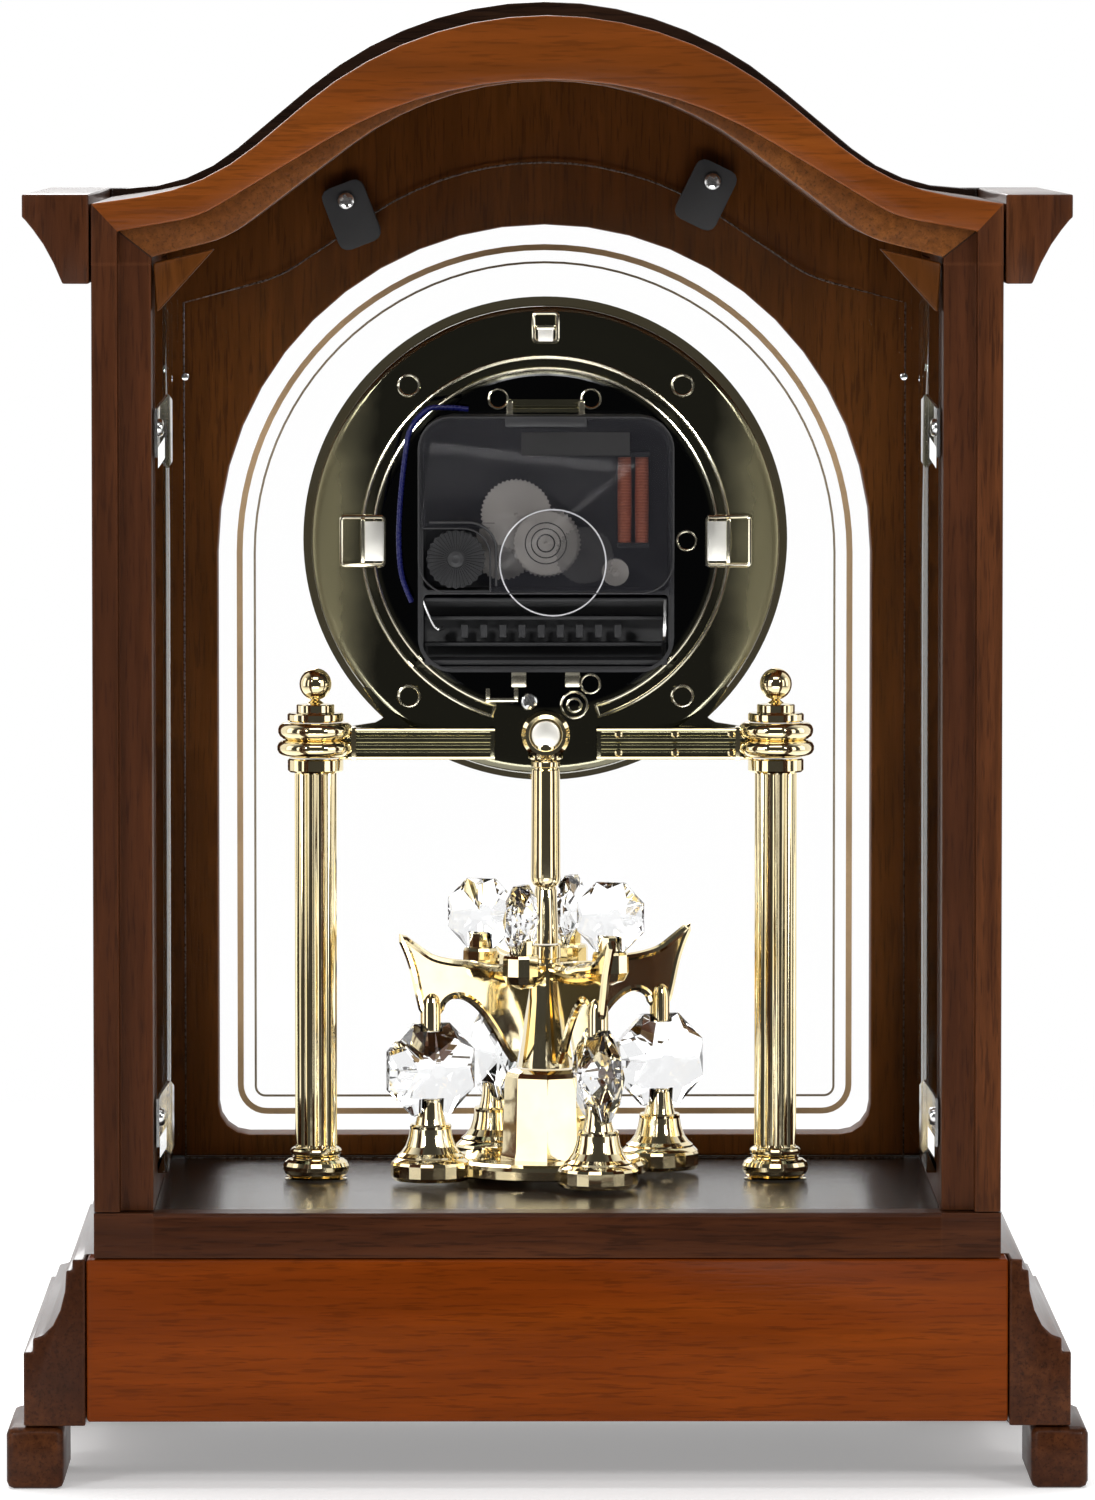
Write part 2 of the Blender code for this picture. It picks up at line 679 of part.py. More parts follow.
# ---------------------------------------------------------------- glass and its holders
def build_glazing():
    """The shaped front pane, the side panes, their spring clips and the turn buttons."""
    pane = arch_curve(GLASS_ARCH, FRONT_GLASS_HALF)
    low = FLOOR_TOP_Z + GAP
    pane += [(-FRONT_GLASS_HALF, low), (FRONT_GLASS_HALF, low)]
    front = INNER_FRONT_Y + GAP
    plate(
        "front_glass",
        [pane],
        FRONT_GLASS_THICKNESS,
        (0.0, front + FRONT_GLASS_THICKNESS / 2.0, 0.0),
        GLASS,
    )
    pane_high = INNER_HALF - GAP
    pane_low = pane_high - SIDE_GLASS_THICKNESS
    for side, name in ((1.0, "left"), (-1.0, "right")):
        low_x, high_x = sorted((side * pane_low, side * pane_high))
        box(
            f"side_glass_{name}",
            (low_x, SIDE_GLASS_LOW[0], SIDE_GLASS_LOW[1]),
            (high_x, SIDE_GLASS_HIGH[0], SIDE_GLASS_HIGH[1]),
            GLASS,
        )
        for height, level in ((CLIP_UPPER_Z, "upper"), (CLIP_LOWER_Z, "lower")):
            build_clip(f"glass_clip_{level}_{name}", side, pane_low, height)
    for name, across, up, tilt in TURN_BUTTONS:
        build_turn_button(name, across, up, tilt, front)


def build_clip(name, side, pane_face, height):
    """A bent steel strip, screwed behind the pane's rear edge and pressing on its face."""
    wall = INNER_HALF - GAP
    edge = SIDE_GLASS_HIGH[0]
    step = pane_face - GAP
    press_end = edge - CLIP_PRESS
    nose = step - CLIP_NOSE_LIFT
    outline = [
        (wall, edge + CLIP_LENGTH),
        (wall, edge + CLIP_BEND),
        (step, edge + CLIP_THICKNESS),
        (step, press_end),
        (nose, press_end - CLIP_NOSE),
        (nose - CLIP_THICKNESS, press_end - CLIP_NOSE + CLIP_THICKNESS / 2.0),
        (step - CLIP_THICKNESS, press_end + CLIP_THICKNESS / 2.0),
        (step - CLIP_THICKNESS, edge + CLIP_THICKNESS),
        (wall - CLIP_THICKNESS, edge + CLIP_BEND + CLIP_THICKNESS / 2.0),
        (wall - CLIP_THICKNESS, edge + CLIP_LENGTH),
    ]
    outline = [(side * across, deep) for across, deep in outline]
    plate(name, [outline], CLIP_HEIGHT, (0.0, 0.0, height), STEEL, "z")


def build_turn_button(name, across, up, tilt, glass_front):
    """A black turn button on a round boss; its origin is on its pivot."""
    near = BUTTON_SHORT_END
    low = (-BUTTON_WIDTH / 2.0, near - BUTTON_LENGTH)
    high = (BUTTON_WIDTH / 2.0, near)
    rear_of_glass = glass_front + FRONT_GLASS_THICKNESS + GAP
    middle_y = rear_of_glass + BUTTON_THICKNESS / 2.0
    button = plate(
        f"turn_button_{name}",
        [rounded_box(low, high, BUTTON_CORNER, 3)],
        BUTTON_THICKNESS,
        (across, middle_y, up),
        BLACK_PLASTIC,
    )
    button.rotation_euler.rotate_axis("Z", radians(-tilt))
    button = as_mesh(button)
    boss = rod(
        f"turn_button_boss_{name}",
        BUTTON_BOSS_RADIUS,
        glass_front,
        middle_y,
        (across, 0.0, up),
        BLACK_PLASTIC,
    )
    fuse(button, boss)


# ---------------------------------------------------------------- brass frame
def build_frame():
    """The cross beam, the columns that carry it and the finials on top of them."""
    beam = box(
        "cross_beam",
        (-BEAM_HALF, BEAM_FRONT_Y, BEAM_LOW_Z),
        (BEAM_HALF, BEAM_REAR_Y, BEAM_HIGH_Z),
        BRASS,
    )
    hub = rod("beam_hub", HUB_RADIUS, BEAM_FRONT_Y + HUB_SETBACK, HUB_REAR_Y, (0.0, 0.0, HUB_Z), BRASS, 24)
    ring = [(STUD_BORE, 160.4), (5.5, 160.4), (8.0, 159.2), (8.0, 157.6), (7.1, 156.6), (8.5, 155.4)]
    ring += [(8.5, 153.9), (6.4, 152.8), (STUD_BORE, 152.8)]
    joined = [hub]
    for side, name in ((1.0, "left"), (-1.0, "right")):
        place = (side * COLUMN_X, AXIS_Y, 0.0)
        joined.append(turned(f"beam_end_{name}", ring, place, BRASS, 32, closed=True))
        turned(f"column_{name}", column_profile(), place, BRASS, 24)
    fuse(beam, *joined)
    cut(beam, rod("pivot_bore", PIVOT_BORE, 150.0, PIVOT_TOP_Z + 1.0, (0.0, AXIS_Y, 0.0), BRASS, 16, "z"))


def column_profile():
    """A column with its base, collar, stud through the beam, and ball finial."""
    ball = [(across, BALL_Z + up) for up, across in arc((0.0, 0.0), BALL_RADIUS, 0.0, 150.0, 5)]
    finial = [(4.2, 164.2), (4.2, 162.4), (6.2, 162.2), (6.2, 160.8), (STUD_RADIUS, 160.7)]
    collar = [(STUD_RADIUS, 152.5), (6.15, 152.5), (6.15, 149.4)]
    shaft = [(4.6, 148.6), (4.6, 67.2)]
    foot = [(5.65, 66.4), (5.65, 64.8), (5.3, 64.3), (6.6, 64.0), (7.35, 62.8), (7.35, 60.9), (6.7, 59.7)]
    return ball + finial + collar + shaft + foot + [(0.0, 59.7)]


# ---------------------------------------------------------------- dial
def build_dial():
    """The housing, the dial, the lens, the bezel and the two hands."""
    place = (0.0, 0.0, DIAL_Z)
    inner = HOUSING_RADIUS - HOUSING_WALL
    floor_y = HOUSING_REAR_Y - HOUSING_WALL
    housing = [(HOUSING_RADIUS, HOUSING_FRONT_Y), (HOUSING_RADIUS, HOUSING_REAR_Y)]
    housing += [(CENTRE_HOLE, HOUSING_REAR_Y), (CENTRE_HOLE, floor_y)]
    housing += [(inner, floor_y), (inner, HOUSING_FRONT_Y)]
    turned("dial_housing", housing, place, SMOKED_BRASS, 64, "y", closed=True)
    dial_rear = floor_y - GAP
    dial = [(DIAL_RADIUS, dial_rear - DIAL_THICKNESS), (DIAL_RADIUS, dial_rear)]
    dial += [(CENTRE_HOLE, dial_rear), (CENTRE_HOLE, dial_rear - DIAL_THICKNESS)]
    turned("dial_plate", dial, place, IVORY_DIAL, 64, "y", closed=True)
    lens_rear = HOUSING_FRONT_Y + LENS_THICKNESS
    lens = [(0.0, HOUSING_FRONT_Y), (LENS_RADIUS, HOUSING_FRONT_Y)]
    lens += [(LENS_RADIUS, lens_rear), (0.0, lens_rear)]
    turned("dial_lens", lens, place, GLASS, 48, "y")
    bezel_rear = HOUSING_FRONT_Y - GAP
    bezel_front = bezel_rear - BEZEL_DEPTH
    edge_y = bezel_rear - BEZEL_EDGE
    bezel = [(BEZEL_INNER, edge_y), (BEZEL_INNER + BEZEL_SLOPE, bezel_front)]
    bezel += [(BEZEL_RADIUS - BEZEL_SLOPE, bezel_front), (BEZEL_RADIUS, edge_y)]
    bezel += [(BEZEL_RADIUS, bezel_rear), (BEZEL_INNER, bezel_rear)]
    turned("dial_bezel", bezel, place, BRASS, 64, "y", closed=True)


# ---------------------------------------------------------------- movement
def along_line(start, end, distance):
    """The point at a distance from start towards end."""
    length = hypot(end[0] - start[0], end[1] - start[1])
    share = distance / length
    return (start[0] + (end[0] - start[0]) * share, start[1] + (end[1] - start[1]) * share)


CENTRE_AXIS = (0.0, DIAL_Z)
KNOB_AXIS = (KNOB_X, KNOB_Z)
KNOB_DISTANCE = hypot(KNOB_X, KNOB_Z - DIAL_Z)
MOTION_PITCH = KNOB_DISTANCE / (CANNON_TEETH + 2 * MINUTE_TEETH + KNOB_TEETH)  # pitch radius per tooth
MINUTE_WHEEL_DISTANCE = MOTION_PITCH * (CANNON_TEETH + MINUTE_TEETH)
MINUTE_WHEEL_AXIS = along_line(CENTRE_AXIS, KNOB_AXIS, MINUTE_WHEEL_DISTANCE)
HOUR_PITCH = MINUTE_WHEEL_DISTANCE / (MINUTE_PINION_TEETH + HOUR_TEETH)


def distance_between(first, second):
    """Distance between two wheel axes."""
    return hypot(first[0] - second[0], first[1] - second[1])


ROTOR_PITCH = distance_between(ROTOR_AXIS, FIFTH_AXIS) / (ROTOR_TEETH + FIFTH_TEETH)
FIFTH_PITCH = distance_between(FIFTH_AXIS, CENTRE_AXIS) / (FIFTH_PINION_TEETH + SECONDS_TEETH)
SECONDS_PITCH = distance_between(THIRD_AXIS, CENTRE_AXIS) / (SECONDS_PINION_TEETH + THIRD_TEETH)
THIRD_PITCH = distance_between(THIRD_AXIS, CENTRE_AXIS) / (THIRD_PINION_TEETH + CENTER_TEETH)


def toothed_wheel(name, teeth, pitch, front, rear, axis, surface, bore=0.0):
    """A wheel with pointed teeth whose tips stay just inside the pitch circle."""
    tip = teeth * pitch - TIP_CLEARANCE
    root = tip - min(TOOTH_HEIGHT, tip * 0.3)
    outline = []
    for tooth in range(teeth):
        for radius, share in ((tip, 0.0), (root, 0.5)):
            angle = 2.0 * pi * (tooth + share) / teeth
            outline.append((radius * cos(angle), radius * sin(angle)))
    outlines = [outline]
    if bore:
        outlines.append(circle((0.0, 0.0), bore, 16))
    wheel = plate(name, outlines, rear - front, (axis[0], (front + rear) / 2.0, axis[1]), surface)
    return as_mesh(wheel)


def geared_arbor(name, axis, surface, wheels, arbor):
    """One turning piece: toothed wheels on a plain arbor, with its origin on its axis."""
    pieces = []
    for number, (teeth, pitch, front, rear) in enumerate(wheels):
        wheel_name = name if number == 0 else f"{name}_pinion"
        pieces.append(toothed_wheel(wheel_name, teeth, pitch, front, rear, axis, surface))
    radius, start, end = arbor
    pieces.append(rod(f"{name}_arbor", radius, start, end, (axis[0], 0.0, axis[1]), surface, 10))
    return fuse(*pieces)


def build_movement_case():
    """The movement's tray with its train space and battery bay, its cover and the contact."""
    low_z = DIAL_Z - CASE_HALF
    high_z = DIAL_Z + CASE_HALF
    outline = rounded_box((-CASE_HALF, low_z), (CASE_HALF, high_z), CASE_CORNER)
    middle = (CASE_FRONT_Y + CASE_REAR_Y) / 2.0
    case = plate("movement_case", [outline], CASE_REAR_Y - CASE_FRONT_Y, (0.0, middle, 0.0), BLACK_PLASTIC)
    case = as_mesh(case)
    inner = CASE_HALF - CASE_WALL
    floor_y = CASE_FRONT_Y + CASE_WALL
    train_outline = rounded_box((-inner, DIVIDER_HIGH_Z), (inner, high_z - CASE_WALL), 1.0, 1)
    train_outline = [point for point in train_outline if point[1] < DIAL_Z]
    corner_x = inner - CASE_CORNER
    corner_z = high_z - CASE_WALL - CASE_CORNER
    train_outline += arc((-corner_x, corner_z), CASE_CORNER, 180.0, 90.0, 4)
    train_outline += arc((corner_x, corner_z), CASE_CORNER, 90.0, 0.0, 4)
    train_outline.sort(key=lambda point: -degrees(atan2(point[1] - DIAL_Z, point[0])))
    depth = CASE_REAR_Y + CUT_EXTRA - floor_y
    train = plate("train_space", [train_outline], depth, (0.0, floor_y + depth / 2.0, 0.0), BLACK_PLASTIC)
    bay = box(
        "battery_bay",
        (-inner, floor_y, BAY_LOW_Z),
        (inner, CASE_REAR_Y + CUT_EXTRA, DIVIDER_LOW_Z),
        BLACK_PLASTIC,
        1.0,
    )
    hole_start = CASE_FRONT_Y - CUT_EXTRA
    hole_end = floor_y + CUT_EXTRA
    hole = rod("hand_hole", CENTRE_HOLE, hole_start, hole_end, (0.0, 0.0, DIAL_Z), BLACK_PLASTIC, 20)
    cut(case, as_mesh(train), bay, hole)
    build_cover(inner, high_z)
    contact_x = -inner + GAP
    box(
        "battery_contact",
        (contact_x, 3.0, BAY_LOW_Z + 2.0),
        (contact_x + 0.8, 12.0, DIVIDER_LOW_Z - 2.0),
        STEEL,
        0.2,
    )


def build_cover(inner, high_z):
    """The smoky cover over the wheels, with a pocket round the set knob."""
    start = CASE_REAR_Y + GAP
    end = start + COVER_THICKNESS
    outline = [(CASE_HALF - 0.2, DIVIDER_LOW_Z), (CASE_HALF - 0.2, high_z - CASE_CORNER)]
    outline += arc((CASE_HALF - CASE_CORNER, high_z - CASE_CORNER), CASE_CORNER - 0.2, 0.0, 90.0, 5)
    outline += arc((-CASE_HALF + CASE_CORNER, high_z - CASE_CORNER), CASE_CORNER - 0.2, 90.0, 180.0, 5)
    outline.append((-CASE_HALF + 0.2, DIVIDER_LOW_Z))
    middle = (0.0, (start + end) / 2.0, 0.0)
    cover = as_mesh(plate("movement_cover", [outline], COVER_THICKNESS, middle, SMOKE_PLASTIC))
    wall = COVER_THICKNESS
    block = box(
        "pocket_block",
        (POCKET_LOW_X - wall, POCKET_FLOOR_Y - wall, DIVIDER_HIGH_Z + 2.0 * GAP),
        (inner - 2.0 * GAP, end - 0.1, POCKET_HIGH_Z + wall),
        SMOKE_PLASTIC,
    )
    pocket = box(
        "pocket_space",
        (POCKET_LOW_X, POCKET_FLOOR_Y, DIVIDER_LOW_Z - CUT_EXTRA),
        (CASE_HALF + CUT_EXTRA, end + CUT_EXTRA, POCKET_HIGH_Z),
        SMOKE_PLASTIC,
    )
    bore_start = POCKET_FLOOR_Y - wall - CUT_EXTRA
    bore_end = POCKET_FLOOR_Y + CUT_EXTRA
    bore = rod("knob_bore", KNOB_BORE, bore_start, bore_end, (KNOB_X, 0.0, KNOB_Z), SMOKE_PLASTIC)
    fuse(cover, block)
    cut(cover, pocket, bore)


def hand_outline(length, width):
    """A spade hand pointing up from the axis, with a round eye."""
    half = width / 2.0
    spade = length * SPADE_SHARE
    points = arc((0.0, 0.0), HAND_EYE_RADIUS, 100.0, 440.0, 14)
    points += [(half, HAND_TAIL), (half, spade - SPADE_NECK), (half + SPADE_REACH, spade), (0.0, length)]
    points += [(-half - SPADE_REACH, spade), (-half, spade - SPADE_NECK), (-half, HAND_TAIL)]
    return points


def build_motion_work():
    """The hands with their tube and arbor, the minute wheel and the set knob."""
    place = (0.0, 0.0, DIAL_Z)
    outline = hand_outline(HOUR_HAND_LENGTH, HOUR_HAND_WIDTH)
    blade = as_mesh(plate("hour_hand", [outline], HAND_THICKNESS, (0.0, HOUR_HAND_Y, DIAL_Z), HAND_BLACK))
    tube = rod("hour_tube", HOUR_TUBE_RADIUS, HOUR_HAND_Y, HOUR_PLANE[1], place, HAND_BLACK, 20)
    wheel = toothed_wheel("hour_wheel", HOUR_TEETH, HOUR_PITCH, *HOUR_PLANE, CENTRE_AXIS, WHITE_PLASTIC)
    bore_end = HOUR_PLANE[1] + CUT_EXTRA
    bore = rod("hour_bore", HOUR_TUBE_BORE, HOUR_HAND_Y - CUT_EXTRA, bore_end, place, HAND_BLACK, 20)
    fuse(blade, tube, wheel)
    cut(blade, bore)
    outline = hand_outline(MINUTE_HAND_LENGTH, MINUTE_HAND_WIDTH)
    long_blade = plate("minute_hand", [outline], HAND_THICKNESS, (0.0, MINUTE_HAND_Y, DIAL_Z), HAND_BLACK)
    long_blade = as_mesh(long_blade)
    tip_y = MINUTE_HAND_Y - HAND_THICKNESS
    arbor = rod("minute_arbor", MINUTE_ARBOR_RADIUS, tip_y, MINUTE_ARBOR_REAR_Y, place, HAND_BLACK)
    cannon = (CANNON_TEETH, MOTION_PITCH, *MOTION_PLANE)
    fuse(long_blade, arbor, toothed_wheel("cannon_pinion", *cannon, CENTRE_AXIS, WHITE_PLASTIC))
    wheels = (
        (MINUTE_TEETH, MOTION_PITCH, *MOTION_PLANE),
        (MINUTE_PINION_TEETH, HOUR_PITCH, HOUR_PLANE[0], MOTION_PLANE[0] + PINION_OVERLAP),
    )
    pin = (MINUTE_PIN_RADIUS, ARBOR_FRONT_Y, MINUTE_PIN_REAR_Y)
    geared_arbor("minute_wheel", MINUTE_WHEEL_AXIS, WHITE_PLASTIC, wheels, pin)
    knob_outline = []
    for rib in range(KNOB_RIBS):
        for radius, share in ((KNOB_RADIUS, 0.0), (KNOB_RADIUS - KNOB_RIB_DEPTH, 0.5)):
            angle = 2.0 * pi * (rib + share) / KNOB_RIBS
            knob_outline.append((radius * cos(angle), radius * sin(angle)))
    knob_front = POCKET_FLOOR_Y + GAP
    knob_place = (KNOB_X, knob_front + KNOB_DEPTH / 2.0, KNOB_Z)
    knob = as_mesh(plate("set_knob", [knob_outline], KNOB_DEPTH, knob_place, BLACK_PLASTIC))
    shaft_end = knob_front + KNOB_DEPTH / 2.0
    place = (KNOB_X, 0.0, KNOB_Z)
    shaft = rod("knob_shaft", KNOB_SHAFT_RADIUS, ARBOR_FRONT_Y, shaft_end, place, BLACK_PLASTIC)
    gear = (KNOB_TEETH, MOTION_PITCH, *MOTION_PLANE)
    fuse(knob, shaft, toothed_wheel("knob_gear", *gear, KNOB_AXIS, BLACK_PLASTIC))


def build_train():
    """The going train from the rotor to the center wheel, with its coil and lead wire."""
    rear = CASE_REAR_Y - GAP
    full = (ARBOR_RADIUS, ARBOR_FRONT_Y, rear)
    wheel = (CENTER_TEETH, THIRD_PITCH, *CENTER_PLANE)
    toothed_wheel("center_wheel", *wheel, CENTRE_AXIS, WHITE_PLASTIC, HOUR_TUBE_BORE)
    wheels = (
        (THIRD_TEETH, SECONDS_PITCH, *THIRD_PLANE),
        (THIRD_PINION_TEETH, THIRD_PITCH, CENTER_PLANE[0] - GAP, THIRD_PLANE[0] + PINION_OVERLAP),
    )
    geared_arbor("third_wheel", THIRD_AXIS, WHITE_PLASTIC, wheels, full)
    wheels = (
        (SECONDS_TEETH, FIFTH_PITCH, *SECONDS_PLANE),
        (SECONDS_PINION_TEETH, SECONDS_PITCH, THIRD_PLANE[0] - GAP, SECONDS_PLANE[0] + PINION_OVERLAP),
    )
    seconds_arbor = (ARBOR_RADIUS, MINUTE_ARBOR_REAR_Y + GAP, rear)
    geared_arbor("seconds_wheel", CENTRE_AXIS, WHITE_PLASTIC, wheels, seconds_arbor)
    wheels = (
        (FIFTH_TEETH, ROTOR_PITCH, *FIFTH_PLANE),
        (FIFTH_PINION_TEETH, FIFTH_PITCH, SECONDS_PLANE[0] - GAP, FIFTH_PLANE[0] + PINION_OVERLAP),
    )
    geared_arbor("fifth_wheel", FIFTH_AXIS, WHITE_PLASTIC, wheels, full)
    magnet_rear = FIFTH_PLANE[0] - 4.0 * GAP
    pinion_front = magnet_rear - PINION_OVERLAP
    pinion_rear = FIFTH_PLANE[1] + GAP
    pinion = toothed_wheel("rotor", ROTOR_TEETH, ROTOR_PITCH, pinion_front, pinion_rear, ROTOR_AXIS, STEEL)
    rotor_place = (ROTOR_AXIS[0], 0.0, ROTOR_AXIS[1])
    magnet_front = magnet_rear - MAGNET_LENGTH
    magnet = rod("rotor_magnet", MAGNET_RADIUS, magnet_front, magnet_rear, rotor_place, STEEL)
    pivot = rod("rotor_pivot", *full, rotor_place, STEEL, 10)
    fuse(pinion, magnet, pivot)
    spool = [(0.0, COIL_HIGH_Z), (3.6, COIL_HIGH_Z), (3.6, COIL_HIGH_Z - 1.0), (3.3, COIL_HIGH_Z - 1.0)]
    spool += [(3.3, COIL_LOW_Z + 1.0), (3.6, COIL_LOW_Z + 1.0), (3.6, COIL_LOW_Z), (0.0, COIL_LOW_Z)]
    turned("coil", spool, (*COIL_AXIS, 0.0), COPPER, 20)
    curve = bpy.data.curves.new("lead_wire", "CURVE")
    curve.dimensions = "3D"
    curve.bevel_depth = WIRE_RADIUS * MM
    curve.bevel_resolution = 2
    curve.use_fill_caps = True
    spline = curve.splines.new("POLY")
    spline.points.add(len(WIRE_ROUTE) - 1)
    for point, place in zip(spline.points, WIRE_ROUTE):
        point.co = (*(Vector(place) * MM), 1.0)
    add("lead_wire", curve, BLUE_PLASTIC)


# ---------------------------------------------------------------- pendulum
def around(start_deg, radius):
    """Angle and place of each of the four pieces spaced round the pendulum's axis."""
    result = []
    for number in range(PENDULUM_SIDES):
        angle = radians(start_deg + 360.0 / PENDULUM_SIDES * number)
        result.append((angle, (radius * cos(angle), AXIS_Y + radius * sin(angle), 0.0)))
    return result


def build_pendulum():
    """The revolving pendulum: stem, crown, base, and two tiers of cut crystals."""
    place = (0.0, AXIS_Y, 0.0)
    stem = [(0.0, PIVOT_TOP_Z), (PIVOT_RADIUS, PIVOT_TOP_Z), (PIVOT_RADIUS, 151.9)]
    stem += [(3.3, 151.9), (3.3, 148.9), (2.8, 148.4), (3.2, 147.4), (3.3, 124.6)]
    stem += [(2.6, 123.3), (2.5, 111.6), (0.0, 111.6)]
    turned("pendulum_stem", stem, place, BRASS, 20)
    build_crown(place)
    build_pendulum_base(place)
    lower_size = (LOWER_CRYSTAL_Z, LOWER_CRYSTAL_RADIUS, LOWER_CRYSTAL_DEPTH)
    for number, (angle, spot) in enumerate(around(LOWER_START_DEG, LOWER_RADIUS), 1):
        build_crystal(f"lower_crystal_{number}", angle, spot, *lower_size)
    upper_size = (UPPER_CRYSTAL_Z, UPPER_CRYSTAL_RADIUS, UPPER_CRYSTAL_DEPTH)
    for number, (angle, spot) in enumerate(around(UPPER_START_DEG, UPPER_RADIUS), 1):
        build_crystal(f"upper_crystal_{number}", angle, spot, *upper_size)


def build_crystal(name, angle, spot, height, size, depth):
    """An octagonal cut crystal standing in a radial plane, seated on its cup and cap."""
    face = depth / 2.0
    girdle = face * CRYSTAL_GIRDLE
    table = size * CRYSTAL_TABLE
    profile = [(0.0, face), (table, face), (size, girdle), (size, -girdle), (table, -face), (0.0, -face)]
    crystal = turned(name, profile, (spot[0], spot[1], height), CRYSTAL, CRYSTAL_SIDES)
    turn_up = Matrix.Rotation(angle, 3, "Z") @ Matrix.Rotation(pi / 2.0, 3, "X")
    crystal.rotation_euler = (turn_up @ Matrix.Rotation(pi / CRYSTAL_SIDES, 3, "Z")).to_euler()
    lower = name.startswith("lower")
    bottom = height - size - CUT_EXTRA
    top = height + size + CUT_EXTRA
    seat_top = (CUP_TOP_Z if lower else UPPER_CUP_TOP_Z) + GAP
    seats = [rod(f"{name}_seat", CUP_RADIUS + GAP, bottom, seat_top, spot, CRYSTAL, 12, "z")]
    if lower:
        seats.append(rod(f"{name}_socket", CUP_RADIUS + GAP, CAP_LOW_Z - GAP, top, spot, CRYSTAL, 12, "z"))
    cut(crystal, *seats)


def build_crown(place):
    """The cast crown: its hub, four fins with caps, and four arms with cups."""
    hub_profile = [(0.0, 111.3), (3.3, 111.3), (4.0, 110.4), (4.0, 107.4), (3.6, 106.6), (4.9, 105.8)]
    hub_profile += [(5.2, 98.0), (6.2, 86.0), (6.3, 84.2), (0.0, 84.2)]
    crown = turned("pendulum_crown", hub_profile, place, BRASS, 20)
    pieces = []
    for number, (angle, spot) in enumerate(around(LOWER_START_DEG, LOWER_RADIUS), 1):
        fin = plate(f"fin_{number}", [FIN_OUTLINE], FIN_THICKNESS, place, BRASS)
        fin.rotation_euler.rotate_axis("Y", angle)
        pieces.append(as_mesh(fin))
        cap = [(0.0, 101.6), (1.2, 101.2), (2.3, 99.6), (2.6, 97.2), (2.6, CAP_LOW_Z), (0.0, CAP_LOW_Z)]
        pieces.append(turned(f"cap_{number}", cap, spot, BRASS, 12))
    for number, (angle, spot) in enumerate(around(UPPER_START_DEG, UPPER_RADIUS), 1):
        outline = rounded_box((ARM_START, ARM_LOW_Z), (UPPER_RADIUS, ARM_HIGH_Z), 0.6, 1)
        arm = plate(f"arm_{number}", [outline], FIN_THICKNESS, place, BRASS)
        arm.rotation_euler.rotate_axis("Y", angle)
        pieces.append(as_mesh(arm))
        cup = [(0.0, UPPER_CUP_TOP_Z), (CUP_RADIUS, UPPER_CUP_TOP_Z), (2.2, 109.5)]
        cup += [(3.0, 107.6), (2.6, 104.3), (1.0, 102.6), (0.0, 102.4)]
        pieces.append(turned(f"cup_{number}", cup, spot, BRASS, 12))
    fuse(crown, *pieces)


def build_pendulum_base(place):
    """The cast base: an eight-sided block, a rosette plate and four pedestals."""
    block = [(0.0, 83.9), (6.8, 83.9), (9.0, 82.3), (9.5, 66.0), (9.9, 64.6), (9.9, 61.0), (0.0, 61.0)]
    base = turned("pendulum_base", block, place, BRASS, CRYSTAL_SIDES)
    base.rotation_euler.rotate_axis("Z", radians(UPPER_START_DEG) + pi / CRYSTAL_SIDES)
    pieces = [rod("rosette", ROSETTE_RADIUS, 61.1, 63.6, place, BRASS, 32, "z")]
    for number, (_, spot) in enumerate(around(LOWER_START_DEG, LOWER_RADIUS), 1):
        pedestal = [(0.0, CUP_TOP_Z), (CUP_RADIUS, CUP_TOP_Z), (CUP_RADIUS, 72.4), (4.4, 71.0), (4.6, 68.4)]
        pedestal += [(7.3, 65.2), (7.3, 64.8), (8.8, 64.2), (8.8, 61.2), (8.2, PENDULUM_LOW_Z)]
        pedestal.append((0.0, PENDULUM_LOW_Z))
        pieces.append(turned(f"pedestal_{number}", pedestal, spot, BRASS, 20))
    fuse(base, *pieces)


build_base()
build_sides()
build_front()
build_roof()
build_glazing()
build_frame()
build_dial()
build_movement_case()
build_motion_work()
build_train()
build_pendulum()
CUTTERS.hide_render = True
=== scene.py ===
from math import atan2, cos, hypot, pi, radians, sin, sqrt

import bmesh
import bpy
from mathutils import Matrix, Vector


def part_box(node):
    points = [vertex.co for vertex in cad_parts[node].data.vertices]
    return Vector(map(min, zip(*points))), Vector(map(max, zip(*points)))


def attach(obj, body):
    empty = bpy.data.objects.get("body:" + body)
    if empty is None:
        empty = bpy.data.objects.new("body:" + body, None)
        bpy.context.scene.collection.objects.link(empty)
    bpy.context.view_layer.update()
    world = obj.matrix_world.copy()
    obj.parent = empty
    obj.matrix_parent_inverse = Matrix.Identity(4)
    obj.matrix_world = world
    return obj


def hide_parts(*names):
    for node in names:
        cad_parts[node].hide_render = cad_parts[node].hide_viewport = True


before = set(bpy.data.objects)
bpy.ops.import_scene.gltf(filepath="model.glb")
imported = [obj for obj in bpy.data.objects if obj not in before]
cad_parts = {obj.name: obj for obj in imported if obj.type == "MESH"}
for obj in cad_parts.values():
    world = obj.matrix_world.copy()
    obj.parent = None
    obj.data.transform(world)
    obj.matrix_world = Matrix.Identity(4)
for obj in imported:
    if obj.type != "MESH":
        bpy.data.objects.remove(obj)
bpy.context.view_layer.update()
MM = 0.001
CASE = "clock_case"
PENDULUM = "pendulum"


def low(node):
    """A CAD node's lowest corner in millimetres."""
    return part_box(node)[0] / MM


def high(node):
    """A CAD node's highest corner in millimetres."""
    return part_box(node)[1] / MM


def middle(node):
    """The middle of a CAD node's box in millimetres."""
    return (low(node) + high(node)) / 2.0


